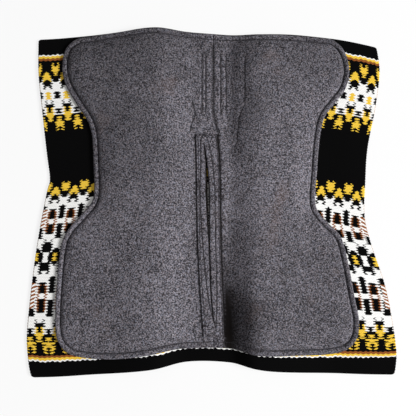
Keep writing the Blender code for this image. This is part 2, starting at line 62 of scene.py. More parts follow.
# %% Set up the camera
CAMERA_DISTANCE = 1.35
CAMERA_TILT = math.radians(6.5)
CAMERA_FOOT = Vector((-0.003, -0.0215, 0))
PICTURE_PIXELS = 416
FOOT_PIXEL_FROM_MIDDLE = (2, 3)
FOCAL_PIXELS = 515.7
SENSOR_WIDTH = 36

camera = bpy.data.objects.new("camera", bpy.data.cameras.new("camera"))
bpy.context.scene.collection.objects.link(camera)
camera.location = CAMERA_FOOT + CAMERA_DISTANCE * Vector((0, -math.sin(CAMERA_TILT), math.cos(CAMERA_TILT)))
camera.rotation_euler = (CAMERA_TILT, 0, 0)
camera.data.shift_x, camera.data.shift_y = (-pixels / PICTURE_PIXELS for pixels in FOOT_PIXEL_FROM_MIDDLE)
camera.data.sensor_width = SENSOR_WIDTH
camera.data.lens = SENSOR_WIDTH * FOCAL_PIXELS / PICTURE_PIXELS
bpy.context.scene.camera = camera
print("camera at", tuple(round(c, 3) for c in camera.location), "lens", round(camera.data.lens, 2))

# %% [markdown]
# ## Measurements of the real pad
# The scene repeats the sizes of the solids, in metres, so that each cloth piece goes where its solid is. The
# outlines are shares of half the width and half the length, and a smooth curve runs through their points.

# %% Sizes
PAD_WIDTH = 0.936
PAD_LENGTH = 0.917
CORNER_RADIUS = 0.010
BLANKET_THICKNESS = 0.006
FELT_THICKNESS = 0.0045
LAYER_GAP = 0.0008
FOLD_HALF = 0.044
FELT_BASE = BLANKET_THICKNESS + LAYER_GAP
SPINE_TOP = FELT_BASE + FELT_THICKNESS
STRIP_GAP = 0.0003
STRIP_BASE = SPINE_TOP + STRIP_GAP
STRIP_THICKNESS = 0.003

BLANKET_LEFT = (
    (-1.0, 0.935), (-0.99, 0.72), (-0.96, 0.49), (-0.925, 0.24), (-0.905, 0.10), (-0.92, 0.02),
    (-0.96, -0.26), (-0.985, -0.52), (-1.0, -0.77), (-0.985, -0.92), (-0.965, -1.0),
)
BLANKET_REAR = (
    (-0.965, -1.0), (-0.72, -0.99), (-0.34, -0.955), (-0.12, -0.915), (0.10, -0.92), (0.32, -0.96),
    (0.74, -0.98), (0.985, -0.985),
)
BLANKET_RIGHT = (
    (0.985, -0.985), (1.0, -0.87), (0.985, -0.70), (0.95, -0.49), (0.89, -0.29), (0.853, -0.11),
    (0.865, 0.10), (0.885, 0.29), (0.935, 0.52), (0.967, 0.73), (0.955, 0.885),
)
BLANKET_FRONT = (
    (0.955, 0.885), (0.73, 0.935), (0.50, 0.957), (0.22, 0.957), (-0.08, 0.978), (-0.33, 1.0),
    (-0.58, 0.97), (-0.84, 0.945), (-1.0, 0.935),
)
FELT_OUTLINE = (
    (-0.70, 0.945), (-0.775, 0.93), (-0.835, 0.87), (-0.853, 0.76), (-0.828, 0.65), (-0.765, 0.54),
    (-0.70, 0.44), (-0.672, 0.35), (-0.66, 0.20), (-0.651, 0.04), (-0.664, -0.035), (-0.72, -0.105),
    (-0.79, -0.19), (-0.825, -0.28), (-0.842, -0.48), (-0.845, -0.68), (-0.828, -0.80),
    (-0.77, -0.868), (-0.68, -0.893), (-0.54, -0.898), (-0.36, -0.878), (-0.17, -0.846),
    (0.09, -0.842), (0.25, -0.875), (0.44, -0.878), (0.62, -0.875), (0.725, -0.852), (0.785, -0.79),
    (0.80, -0.69), (0.78, -0.56), (0.748, -0.36), (0.715, -0.23), (0.65, -0.155), (0.595, -0.09),
    (0.578, -0.02), (0.592, 0.14), (0.61, 0.32), (0.64, 0.455), (0.70, 0.54), (0.765, 0.63),
    (0.79, 0.74), (0.765, 0.855), (0.70, 0.925), (0.61, 0.94), (0.42, 0.948), (0.20, 0.949),
    (-0.08, 0.970), (-0.33, 0.991), (-0.54, 0.968),
)
SIDES = {"left": -1, "right": 1}


# %% Helpers for curves
def smooth_line(shares, closed=False, per_span=16):
    """Points along a smooth curve through shares of half the width and length, in metres."""
    points = np.array(shares) * (PAD_WIDTH / 2, PAD_LENGTH / 2)
    count = len(points)
    steps = np.arange(per_span)[:, None] / per_span
    found = []
    for index in range(count if closed else count - 1):
        near = [index + step for step in (-1, 0, 1, 2)]
        near = [i % count if closed else min(max(i, 0), count - 1) for i in near]
        before, start, end, after = points[near]
        found.append(
            start
            + (end - before) * steps / 2
            + (before * 2 - start * 5 + end * 4 - after) * steps**2 / 2
            + (start * 3 - before - end * 3 + after) * steps**3 / 2
        )
    if not closed:
        found.append(points[-1:])
    return np.concatenate(found)


def lengths_along(line):
    """How far along a line each of its points is."""
    return np.concatenate([[0], np.cumsum(np.linalg.norm(np.diff(line, axis=0), axis=1))])


def spread_along(line, shares):
    """Points on a line, at shares of its length."""
    along = lengths_along(line)
    wanted = np.asarray(shares) * along[-1]
    return np.stack([np.interp(wanted, along, line[:, k]) for k in range(line.shape[1])], -1)


def rounded_corner(before, corner, after, steps=16):
    """A corner eased to its radius: the half before its middle, and the half after."""
    start = corner + (before - corner) / np.linalg.norm(before - corner) * CORNER_RADIUS
    end = corner + (after - corner) / np.linalg.norm(after - corner) * CORNER_RADIUS
    t = np.linspace(0, 1, steps + 1)[:, None]
    arc = start * (1 - t) ** 2 + corner * 2 * t * (1 - t) + end * t**2
    return arc[: steps // 2 + 1], arc[steps // 2 :]


def smoothstep(t):
    """0 before 0 and 1 past 1, with a soft rise between."""
    t = np.clip(t, 0, 1)
    return t * t * (3 - 2 * t)


def groove(distance, depth, width):
    """A rounded groove: its full depth on its line, fading with distance from it."""
    return depth * np.exp(-((distance / width) ** 2))


# %% [markdown]
# ## How the pad lies
# Each side is arched over the floor, higher at its ends than at its waist, and sinks to the flat spine. The
# heights are formulas, so that blanket, cores, felt and thread can all be laid on the same shape. Shallow
# waves, added together from a few wavelengths, keep the cloth from looking pressed. The right side climbs
# more steeply towards its rear corner, as a pad does where it has been folded often.

# %% Arch and waves
LEFT_CREST, RIGHT_CREST = 0.150, 0.128
CREST_INNER_REACH, CREST_OUTER_REACH = 0.082, 0.190
ARCH_REAR, ARCH_FRONT, ARCH_WAIST = 0.020, 0.012, 0.009
STEEP_START_Y, STEEP_LENGTH = -0.12, 0.25
STEEP_CREST_SHIFT, STEEP_RISE = 0.017, 0.003
SPINE_EASE = 0.060
SETTLED_HEIGHT = 0.0012
WAVE_BEND, WAVE_BEND_RATE, WAVE_LOUDNESS = 0.25, 2.3, 1.3


def waves(x, y, seed, shortest, longest, count=7):
    """Smooth unevenness from about -1 to 1, the same at every run."""
    random = np.random.default_rng(seed)
    total = np.zeros(np.broadcast(x, y).shape)
    for wavelength in np.geomspace(shortest, longest, count):
        turn, phase = random.uniform(0, math.pi), random.uniform(0, 2 * math.pi)
        run = x * math.cos(turn) + y * math.sin(turn)
        across = x * math.sin(turn) - y * math.cos(turn)
        bend = WAVE_BEND * wavelength * np.sin(across / wavelength * WAVE_BEND_RATE + phase)
        total += np.sin((run + bend) * 2 * math.pi / wavelength + phase)
    return total / count**0.5 / WAVE_LOUDNESS


def beside_spine(x):
    """0 over the spine and its folds, and 1 well out on the sides."""
    return smoothstep((np.abs(x) - FOLD_HALF) / SPINE_EASE)


def ground(x, y):
    """Height of the blanket's lower face over the floor."""
    t = np.clip(y / (PAD_LENGTH / 2), -1, 1)
    end = np.where(t > 0, ARCH_FRONT, ARCH_REAR)
    height = ARCH_WAIST + (end - ARCH_WAIST) * np.sin(np.abs(t) * math.pi / 2)
    steep = smoothstep((STEEP_START_Y - y) / STEEP_LENGTH) * (x > 0)
    height = height + STEEP_RISE * steep
    past = np.abs(x) - np.where(x > 0, RIGHT_CREST, LEFT_CREST) + STEEP_CREST_SHIFT * steep
    inner_reach = CREST_INNER_REACH - STEEP_CREST_SHIFT * steep
    outer_reach = CREST_OUTER_REACH + STEEP_CREST_SHIFT * steep
    reach = np.where(past > 0, outer_reach, inner_reach)
    arch = height * (0.5 + 0.5 * np.cos(math.pi * np.clip(np.abs(past) / reach, 0, 1)))
    settled = SETTLED_HEIGHT * (1 + waves(x, y, seed=5, shortest=0.16, longest=0.42)) * beside_spine(x)
    return arch + np.maximum(settled, 0)


# %% [markdown]
# ## How thick the lining is
# Felt and core together are low in the sewn groove near the edge and thick inside it. Two short tables
# give the height over the distance from the edge, one for bare felt and one for a full pocket. The place
# across the pad says how much of each counts.

# %% Thickness of felt and core
POCKET_START, POCKET_SLOPE = 0.006, 0.054
SOFT_START, SOFT_RISE = 0.2, 2.25


def filled_share(x):
    """How full the pocket is: 0 at the fold and 1 well out, with a soft start."""
    t = np.clip((np.abs(x) - FOLD_HALF - POCKET_START) / POCKET_SLOPE, -SOFT_START, 1)
    return np.where(t < SOFT_START, SOFT_RISE * (t + SOFT_START) ** 2, 1 - (1 - t) ** 2)


def eased_table(steps, reach=0.08, step=0.0001, spread=0.0009, kernel_half=60):
    """A table of heights over distance from the felt's edge, its corners worn round."""
    places = np.arange(0, reach, step)
    heights = np.interp(places, *zip(*steps))
    kernel = np.exp(-0.5 * (np.arange(-kernel_half, kernel_half + 1) * step / spread) ** 2)
    padded = np.pad(heights, kernel_half, mode="edge")
    return places, np.convolve(padded, kernel / kernel.sum(), "valid")


BARE_STEPS = (
    (0, 0.0052), (0.006, 0.0048), (0.0120, 0.0044), (0.0138, 0.0030), (0.0152, 0.0030), (0.0172, 0.0044),
    (0.028, 0.0045),
)
FILLED_STEPS = (
    (0, 0.0072), (0.007, 0.0080), (0.0118, 0.0068), (0.0138, 0.0032), (0.0152, 0.0032),
    (0.0172, 0.0080), (0.0215, 0.0112), (0.028, 0.0136), (0.040, 0.0152), (0.060, 0.0160),
)
BARE, FILLED = eased_table(BARE_STEPS), eased_table(FILLED_STEPS)
EDGE_LOW = 0.0012
EDGE_ROUND = 0.0042
FIELD_START, FIELD_EASE = 0.018, 0.05
UNEVEN_FILL = 0.0009


def formed_height(x, y, inward):
    """Thickness of felt and core by formula, at a distance inward from the felt's edge."""
    full = filled_share(x)
    height = np.interp(inward, *BARE) * (1 - full) + np.interp(inward, *FILLED) * full
    roll = np.clip(1 - inward / EDGE_ROUND, 0, 1)
    height = EDGE_LOW + (height - EDGE_LOW) * np.sqrt(np.maximum(1 - roll**2, 0))
    inside = smoothstep((inward - FIELD_START) / FIELD_EASE) * full
    return height + UNEVEN_FILL * waves(x, y, seed=11, shortest=0.045, longest=0.15) * inside


# %% [markdown]
# ## Where the seams run
# The two panels meet on a seam over the withers, and under the strip they part along the vent. The withers
# have four sewn channels, and an outer line of stitches on each side that bends in towards the strip. Each
# line is a short list of places, and a smooth polynomial runs through the longer ones.

# %% Seams
SEAM_X = 0.005
SEAM_TURN_Y, SEAM_END = 0.222, (0.0160, 0.177)
SEAM_UNDER_STRIP_Y = 0.160
REAR_SEAM_X, REAR_SEAM_Y, PAD_REAR_Y = 0.006, -0.36, -0.46
STRIP_FRONT_Y, STRIP_REAR_Y = 0.166, -0.358
STRIP_LEFT = (
    (-0.0410, 0.166), (-0.0385, 0.085), (-0.0375, 0.018), (-0.0360, -0.074), (-0.0335, -0.139),
    (-0.0300, -0.216), (-0.0265, -0.267), (-0.0225, -0.317), (-0.0200, -0.358),
)
STRIP_RIGHT = (
    (0.0158, 0.166), (0.0210, 0.085), (0.0240, 0.018), (0.0250, -0.074), (0.0255, -0.139), (0.0270, -0.216),
    (0.0308, -0.267), (0.0335, -0.317), (0.0330, -0.358),
)
VENT_LINE = (
    (-0.0200, 0.141), (-0.0152, 0.112), (-0.0136, 0.090), (-0.0114, 0.071), (-0.0106, 0.045),
    (-0.0090, 0.018), (-0.0090, -0.008), (-0.0074, -0.061), (-0.0064, -0.113), (-0.0035, -0.165),
    (-0.0017, -0.216), (0.0001, -0.267), (0.0021, -0.292), (0.0072, -0.322),
)
VENT_HALVES = (
    (0, 0.141), (0.0010, 0.112), (0.0016, 0.088), (0.0026, 0.072), (0.0034, 0.045), (0.0048, 0.018),
    (0.0042, -0.008), (0.0036, -0.035), (0.0030, -0.061), (0.0022, -0.087), (0.0012, -0.113),
    (0.0006, -0.140), (0.0005, -0.300), (0, -0.322),
)
ALMOND_ROWS = (
    (0.163, -0.0205, -0.0205), (0.158, -0.0262, -0.0135), (0.150, -0.0280, -0.0095),
    (0.139, -0.0285, -0.0065), (0.098, -0.0275, 0.0020), (0.058, -0.0285, 0.0060),
    (0.018, -0.0298, 0.0090), (-0.010, -0.0290, 0.0095), (-0.087, -0.0250, 0.0105),
    (-0.139, -0.0210, 0.0115), (-0.190, -0.0160, 0.0130), (-0.229, -0.0125, 0.0140),
    (-0.267, -0.0070, 0.0142), (-0.304, 0.0010, 0.0132), (-0.330, 0.0090, 0.0118),
    (-0.336, 0.0112, 0.0112),
)
WITHER_CHANNELS = (-0.0245, -0.0145, 0.0255, 0.0400)
WITHER_FRONT_Y, WITHER_REAR_Y = 0.394, 0.217
OUTER_WITHER_LINES = {
    "left": (
        (-0.0512, 0.262), (-0.0470, 0.240), (-0.0405, 0.220), (-0.0480, 0.204), (-0.0525, 0.188),
        (-0.0550, 0.171),
    ),
    "right": (
        (0.0899, 0.375), (0.0894, 0.289), (0.0890, 0.240), (0.0800, 0.226), (0.0735, 0.204),
        (0.0700, 0.171), (0.0687, 0.144), (0.0593, 0.1225),
    ),
}


def curve_through(line, degree):
    """x as a smooth function of y, near a line's points."""
    xs, ys = zip(*line)
    return np.polynomial.Polynomial.fit(ys, xs, degree)


STRIP_CURVES = [curve_through(line, 4) for line in (STRIP_LEFT, STRIP_RIGHT)]
VENT_CURVE = curve_through(VENT_LINE, 5)
VENT_FRONT_Y, VENT_REAR_Y = VENT_LINE[0][1], VENT_LINE[-1][1]
ALMOND_LOOP = [(left, y) for y, left, _ in ALMOND_ROWS] + [(right, y) for y, _, right in ALMOND_ROWS[-2::-1]]


def strip_edges(y):
    """x of the strip's left and right edge."""
    y = np.clip(y, STRIP_REAR_Y, STRIP_FRONT_Y)
    return STRIP_CURVES[0](y), STRIP_CURVES[1](y)


def vent_middle(y):
    return VENT_CURVE(np.clip(y, VENT_REAR_Y, VENT_FRONT_Y))


def vent_half(y):
    halves, ys = zip(*VENT_HALVES[::-1])
    return np.interp(y, ys, halves)


def in_vent(y):
    return (y < VENT_FRONT_Y) & (y > VENT_REAR_Y)


def almond_sides(y):
    ys, left, right = zip(*ALMOND_ROWS[::-1])
    return np.interp(y, ys, left), np.interp(y, ys, right)


def parting(y):
    """Across the pad, where the two panels meet: the seam, and then the vent's middle."""
    ys = (PAD_REAR_Y, REAR_SEAM_Y, VENT_REAR_Y, VENT_FRONT_Y, SEAM_UNDER_STRIP_Y, SEAM_END[1], SEAM_TURN_Y)
    vent_ends = vent_middle(VENT_REAR_Y), vent_middle(VENT_FRONT_Y)
    xs = (SEAM_X, REAR_SEAM_X, *vent_ends, SEAM_END[0], SEAM_END[0], SEAM_X)
    return np.where(in_vent(y), vent_middle(y), np.interp(y, ys, xs))


def distance_to_line(x, y, line):
    """Distance from points to an open line, which is given as points."""
    line = np.asarray(line)
    best = np.full(np.shape(x), np.inf)
    for (ax, ay), (bx, by) in zip(line[:-1], line[1:]):
        rx, ry = bx - ax, by - ay
        t = np.clip(((x - ax) * rx + (y - ay) * ry) / (rx * rx + ry * ry), 0, 1)
        best = np.minimum(best, np.hypot(x - ax - rx * t, y - ay - ry * t))
    return best


# %% [markdown]
# Each seam draws the felt down in a rounded groove. Each pair below is a groove's depth and width.

# %% How deep each seam pulls the felt
CHANNEL_DIP, SEAM_DIP, OUTER_WITHER_DIP = (0.0016, 0.0026), (0.0024, 0.0042), (0.0018, 0.0042)
STRIP_LEFT_DIP, STRIP_RIGHT_DIP = (0.0008, 0.0026), (0.0013, 0.0034)
CHANNEL_EASE, CHANNEL_REAR_RUN, CHANNEL_FRONT_RUN = 0.03, 0.02, 0.01
STRIP_EASE, SEAM_EASE = 0.004, 0.02
SEAM_FRONT_Y = 0.445


def sewn_dips(x, y):
    """How far the felt is pulled down by the seam, the channels, the outer wither lines and the strip."""
    run = smoothstep((y - WITHER_REAR_Y + CHANNEL_REAR_RUN) / CHANNEL_EASE)
    run = run * smoothstep((WITHER_FRONT_Y + CHANNEL_FRONT_RUN - y) / CHANNEL_EASE)
    dip = np.zeros(np.shape(x))
    for channel in WITHER_CHANNELS:
        dip = np.maximum(dip, groove(x - channel, *CHANNEL_DIP) * run)
    shown = smoothstep((SEAM_FRONT_Y - y) / SEAM_EASE) * (y > VENT_FRONT_Y)
    dip = np.maximum(dip, groove(x - parting(y), *SEAM_DIP) * shown)
    for line in OUTER_WITHER_LINES.values():
        dip = np.maximum(dip, groove(distance_to_line(x, y, line), *OUTER_WITHER_DIP))
    low, high = strip_edges(y)
    half = STRIP_EASE / 2
    beside = smoothstep((STRIP_FRONT_Y + half - y) / STRIP_EASE)
    beside = beside * smoothstep((y - STRIP_REAR_Y + half) / STRIP_EASE)
    dip = np.maximum(dip, groove(x - low, *STRIP_LEFT_DIP) * beside)
    return np.maximum(dip, groove(x - high, *STRIP_RIGHT_DIP) * beside)


print("strip is", [round(1000 * float(np.ptp(strip_edges(y))), 1) for y in (0.16, 0, -0.35)], "mm wide")

# %% [markdown]
# ## Nodes as arithmetic
# A pattern is easier to read as a formula than as a web of nodes. The small class below wraps a socket, and
# adding, multiplying or comparing two of them adds the Math node that does it.


# %% Node helpers
class Strand:
    """One number or colour on its way through a finish."""

    def __init__(self, finish, socket):
        self.finish, self.socket = finish, socket

    def math(self, operation, *others):
        sockets = dict(enumerate((self, *others)))
        return self.finish.node("Math", {"operation": operation}, sockets)

    def __add__(self, other):
        return self.math("ADD", other)

    def __sub__(self, other):
        return self.math("SUBTRACT", other)

    def __rsub__(self, other):
        return self.finish.node("Math", {"operation": "SUBTRACT"}, {0: other, 1: self})

    def __mul__(self, other):
        return self.math("MULTIPLY", other)

    def __truediv__(self, other):
        return self.math("DIVIDE", other)

    def __gt__(self, other):
        return self.math("GREATER_THAN", other)

    def __lt__(self, other):
        return self.math("LESS_THAN", other)

    __radd__, __rmul__ = __add__, __mul__

    def __abs__(self):
        return self.math("ABSOLUTE")

    def whole(self):
        return self.math("FLOOR")

    def part(self):
        return self.math("FRACT")

    def sine(self):
        return self.math("SINE")

    def held(self, low=0.0, high=1.0):
        return self.math("MAXIMUM", low).math("MINIMUM", high)

    def eased(self, low, high):
        sockets = {"Value": self, "From Min": low, "From Max": high}
        return self.finish.node("MapRange", {"interpolation_type": "SMOOTHSTEP"}, sockets)


RAMP_KINDS = {"stops": "CONSTANT", "smooth_stops": "LINEAR"}


def fill_ramp(ramp, stops, kind):
    """Gives a colour ramp its stops, of which the first is at 0."""
    ramp.interpolation = kind
    for place, color in stops:
        if place < 1:
            stop = ramp.elements[0] if place == 0 else ramp.elements.new(place)
            stop.color = color
    if stops[-1][0] < 1:
        ramp.elements.remove(ramp.elements[-1])
    else:
        ramp.elements[-1].color = stops[-1][1]


class Finish:
    """A material made of nodes, whose numbers are worked on as strands."""

    def __init__(self, name, **constants):
        self.material = bpy.data.materials.new(name)
        self.material.use_nodes = True
        self.nodes, self.links = self.material.node_tree.nodes, self.material.node_tree.links
        self.shader = self.nodes["Principled BSDF"]
        for socket, value in constants.items():
            self.shader.inputs[socket.replace("_", " ")].default_value = value

    def node(self, kind, settings=(), sockets=(), output=0):
        made = self.nodes.new("ShaderNode" + kind)
        for name, value in dict(settings).items():
            if name in RAMP_KINDS:
                fill_ramp(made.color_ramp, value, RAMP_KINDS[name])
            else:
                setattr(made, name, value)
        for name, value in dict(sockets).items():
            self.feed(made.inputs[name], value)
        return Strand(self, made.outputs[output])

    def feed(self, socket, value):
        if isinstance(value, Strand):
            self.links.new(value.socket, socket)
        else:
            socket.default_value = value

    def set(self, name, value):
        self.feed(self.shader.inputs[name], value)

    def attribute(self, name):
        return self.stored(name, "Vector")

    def stored(self, name, output):
        settings = {"attribute_type": "GEOMETRY", "attribute_name": name}
        return self.node("Attribute", settings, output=output)

    def parts(self, vector):
        split = self.node("SeparateXYZ", sockets={0: vector})
        outputs = split.socket.node.outputs
        return [Strand(self, outputs[index]) for index in range(3)]

    def joined(self, x, y, z=0.0):
        return self.node("CombineXYZ", sockets={0: x, 1: y, 2: z})

    def noise(self, place, scale, detail=2.0, roughness=0.5, distortion=0.0):
        sockets = {"Vector": place, "Scale": scale, "Detail": detail}
        sockets.update({"Roughness": roughness, "Distortion": distortion})
        return self.node("TexNoise", sockets=sockets)

    def hard_ramp(self, share, stops):
        """The colour or number of the last stop that a share has passed."""
        return self.node("ValToRGB", {"stops": stops}, {0: share})

    def blend(self, share, first, second, kind="MIX"):
        settings = {"data_type": "RGBA", "blend_type": kind}
        return self.node("Mix", settings, {0: share, 6: first, 7: second}, output=2)

    def dimmed(self, color, light):
        """A colour times one number."""
        return self.blend(1.0, color, self.joined(light, light, light), "MULTIPLY")

    def bump(self, height, distance, strength=1.0):
        sockets = {"Height": height, "Distance": distance, "Strength": strength}
        return self.node("Bump", sockets=sockets)


# %% [markdown]
# ## The woven pattern
# A southwestern cover is woven in rows, and its motifs are stepped because each row can only start a new
# colour between two warps. The chart below is written the way a weaver keeps one: for each of the two
# columns that repeat across the cloth, it lists how far a colour reaches from the column's middle, row by
# row, in millimetres from the front edge. Columns stand 23.75 mm apart and take turns. A block is one
# colour, legs are two bars with the ground between them, and a flanked row has a core of another colour.

# %% Chart
CLOTH_LENGTH = 0.886
NONE, BLACK, YELLOW, WHITE, RUST = 0.0, 0.2, 0.4, 0.6, 0.8


def block(start, end, reach, color):
    return [(start, end, reach, reach, color, color)]


def legs(start, end, inner, outer, color):
    return [(start, end, inner, outer, NONE, color)]


def flanked(start, end, inner, outer, core, flank):
    return [(start, end, inner, outer, core, flank)]


def steps(color, *rows):
    return [row for start, end, reach in rows for row in block(start, end, reach, color)]


ARROW_COLUMN = (
    steps(YELLOW, (84.5, 91, 5.5), (91, 96, 10), (96, 107, 12.5))
    + flanked(107, 112, 5.5, 13.5, BLACK, YELLOW)
    + steps(BLACK, (112, 121, 12.5), (121, 126, 9.5))
    + legs(126, 134, 5.5, 12, BLACK)
    + block(143, 163, 8.5, YELLOW)
    + legs(166, 176, 6.5, 10.5, BLACK)
    + block(176, 184, 11.5, BLACK)
    + flanked(184, 198, 5.5, 12, BLACK, YELLOW)
    + steps(YELLOW, (198, 209, 12.5), (209, 217, 7), (217, 223, 8.5))
    + steps(YELLOW, (395, 401, 5.5), (401, 407, 9), (407, 415, 12.5))
    + flanked(415, 419, 5, 13, BLACK, YELLOW)
    + flanked(419, 424, 10, 13.5, BLACK, YELLOW)
    + block(424, 432, 10, BLACK)
    + legs(432, 441, 6, 13, BLACK)
    + block(455, 460, 7, BLACK)
    + flanked(460, 464, 5, 9, BLACK, RUST)
    + flanked(464, 484, 7.8, 12, BLACK, RUST)
    + flanked(484, 498, 7.2, 12.2, WHITE, RUST)
    + flanked(498, 519, 7.5, 12, BLACK, RUST)
    + block(519, 524, 8, BLACK)
    + legs(537, 543, 7, 11, BLACK)
    + steps(BLACK, (544, 548, 9), (548, 570, 12))
    + flanked(570, 578, 9, 18, WHITE, BLACK)
    + flanked(578, 589, 6, 18, WHITE, BLACK)
    + flanked(589, 597, 9, 18, WHITE, BLACK)
    + block(597, 620, 13, BLACK)
    + legs(620, 628, 6, 14, BLACK)
    + block(648, 653, 9, BLACK)
    + flanked(653, 656, 5, 9, BLACK, RUST)
    + flanked(656, 677, 7.8, 12, BLACK, RUST)
    + flanked(677, 690, 7.2, 12.2, WHITE, RUST)
    + flanked(690, 720, 7.8, 12, BLACK, RUST)
    + block(720, 725, 8, BLACK)
    + legs(741, 749, 7, 11, BLACK)
    + block(751, 761, 12, BLACK)
    + flanked(761, 775, 6, 13, BLACK, YELLOW)
    + steps(YELLOW, (775, 784, 12.5), (784, 793, 8), (795, 799, 10))
)
BAR_COLUMN = (
    legs(62, 66, 6.3, 11.3, YELLOW)
    + legs(67, 72, 4.5, 11.5, YELLOW)
    + steps(YELLOW, (72, 87, 10.5), (88, 96, 6.5))
    + steps(BLACK, (107, 111, 9), (111, 115, 6), (143, 149, 7), (149, 155.5, 5.5), (155.5, 161.5, 7.5))
    + steps(BLACK, (187, 193, 6.5), (193, 198, 3), (198, 201, 8))
    + steps(YELLOW, (209, 214, 6.5), (214, 218, 4.5), (218, 223, 6.5), (223, 234, 12), (234, 237, 10))
    + legs(237, 242, 4, 11.5, YELLOW)
    + legs(244, 248, 4, 11.5, YELLOW)
    + legs(380, 385, 6.5, 11.5, YELLOW)
    + steps(YELLOW, (385, 402, 12), (402, 408, 8))
    + steps(BLACK, (418, 426, 7), (445, 448, 3.5), (448, 484, 7), (498, 532, 7), (532, 536, 8.5))
    + steps(BLACK, (559, 564, 6), (564, 570, 10), (570, 573, 14))
    + flanked(573, 580, 5, 15, YELLOW, BLACK)
    + flanked(580, 587, 3.4, 15, YELLOW, BLACK)
    + flanked(587, 594, 5.6, 15, YELLOW, BLACK)
    + steps(BLACK, (594, 597, 14), (597, 602, 7), (602, 607, 3))
    + steps(BLACK, (634, 637, 3.5), (637, 677, 7), (693, 732, 7), (732, 736, 9))
    + steps(BLACK, (765, 769, 9), (769, 772, 5), (772, 774, 8), (774, 778, 4.5))
    + steps(YELLOW, (787, 796, 8.5), (797, 800, 5), (800, 805, 16.5), (805, 808, 10), (809, 813, 16.5))
    + flanked(813, 817, 6, 16, BLACK, YELLOW)
    + legs(817, 821, 4, 16, YELLOW)
    + legs(823, 828, 4, 14, YELLOW)
)
GROUND_BANDS = ((0, BLACK), (107, WHITE), (201, BLACK), (418, WHITE), (778, BLACK))
END_LINES = (
    (0, NONE), (37, WHITE), (41, YELLOW), (48, RUST), (53.5, NONE),
    (831, RUST), (838, YELLOW), (846, WHITE), (851, NONE),
)
SELVAGE_DASHES = ((0, NONE), (456, RUST), (508, NONE), (650, RUST), (716, NONE))
HALF_STEP = 0.1
YARNS = {
    BLACK: (0.0022, 0.0022, 0.0023, 1),
    YELLOW: (0.92, 0.60, 0.062, 1),
    WHITE: (0.975, 0.970, 0.950, 1),
    RUST: (0.30, 0.095, 0.024, 1),
}
print("chart rows:", len(ARROW_COLUMN), "and", len(BAR_COLUMN))

# %% [markdown]
# The chart is read by colour ramps with hard steps, in which the four channels of a stop are the inner
# reach, the outer reach and the two colours' numbers. A ramp holds 32 stops, so each column is read by
# three ramps in turn along the cloth.

# %% Read the chart in nodes
COLUMN_PITCH = 0.0475
TOOTH = 0.0072
TOOTH_REACH = 0.0023
RAMP_COUNT, RAMP_STOPS, RAMP_END = 3, 32, 0.9999
ANY_REACH = 0.001
REACH_UNIT = 100.0
YELLOW_DRAWN_BACK = 2.0
BLACK_SPREAD = 1.0


def stops_between(rows, low, high):
    """The stops of a ramp that covers the chart from low to high."""
    found = {low: (0, 0, 0, 0)}
    for start, end, inner, outer, core, flank in rows:
        if end <= low or start >= high:
            continue
        if flank == YELLOW:
            outer -= YELLOW_DRAWN_BACK
        elif inner == outer:
            outer = inner = outer + BLACK_SPREAD
        found[max(start, low)] = (inner / REACH_UNIT, outer / REACH_UNIT, core, flank)
        found.setdefault(end, (0, 0, 0, 0))
    places = sorted(place for place in found if place < high)
    assert len(places) <= RAMP_STOPS, len(places)
    return [((place - low) / (high - low), found[place]) for place in places]


def number_stops(rows):
    """Stops of a ramp along the whole cloth, from rows of millimetres and colour numbers."""
    return [(start / (CLOTH_LENGTH * 1000), (color,) * 3 + (1,)) for start, color in rows]


def read_column(finish, rows, millimetres, distance, tick):
    """The colour number of one column, 0 where the ground shows."""
    span = CLOTH_LENGTH * 1000 / RAMP_COUNT
    read = None
    counts = []
    for index in range(RAMP_COUNT):
        low = index * span
        stops = stops_between(rows, low, low + span)
        counts.append(len(stops))
        ramp = finish.hard_ramp(((millimetres - low) / span).held(0.0, RAMP_END), stops)
        here = [*finish.parts(ramp), Strand(finish, ramp.socket.node.outputs["Alpha"])]
        if read:
            on = millimetres > low
            here = [before + on * (after - before) for before, after in zip(read, here)]
        read = here
    print("stops of the column's ramps:", counts)
    inner, outer, core, flank = read
    inside_outer = distance < (outer * (REACH_UNIT / 1000) + tick * (outer > ANY_REACH))
    inside_inner = distance < (inner * (REACH_UNIT / 1000) + tick * (inner > ANY_REACH))
    return inside_outer * (flank + inside_inner * (core - flank))


# %% [markdown]
# ## The blanket's finish
# Weft rows run across the cloth and hide the warp. Their ends stand out as small teeth where a colour
# stops, the yarn is not quite even, and each row casts a fine shadow on the next. The finish reads the
# place on the cloth from an attribute, so the pattern bends with the cloth when a side is folded up. Beside
# the bar motifs the weft turns at the selvage in short slanting dashes of rust and white.

# %% Which yarn shows
COLUMN_WANDER, ROW_WANDER = 0.0022, 0.0025
TOOTH_SHARPNESS, JITTER_WIDTH, JITTER = 2.4, 0.012, 0.9
RIPPLE_LENGTH, RIPPLE_MILLIMETRES = 0.0125, 1.1
SWELL_LENGTH, SWELL_SHARE = 0.041, 0.6
DASH_PITCH, DASH_SHARE, DASH_SLANT = 0.0100, 0.52, 0.5
DASH_REACH, DASH_TOOTH = 0.0125, 0.6


def toothed(finish, u, v):
    """How much further than charted a colour reaches, so that its edge shows the rows' ends as teeth."""
    cell = finish.joined((v / TOOTH).whole(), (u / JITTER_WIDTH).whole())
    jitter = finish.node("TexWhiteNoise", {"noise_dimensions": "2D"}, {"Vector": cell})
    tooth = abs((v / TOOTH).part() - 0.5) * -4.0 + 1.0
    return ((tooth * TOOTH_SHARPNESS).held(-1.0, 1.0) + (jitter - 0.5) * JITTER) * TOOTH_REACH


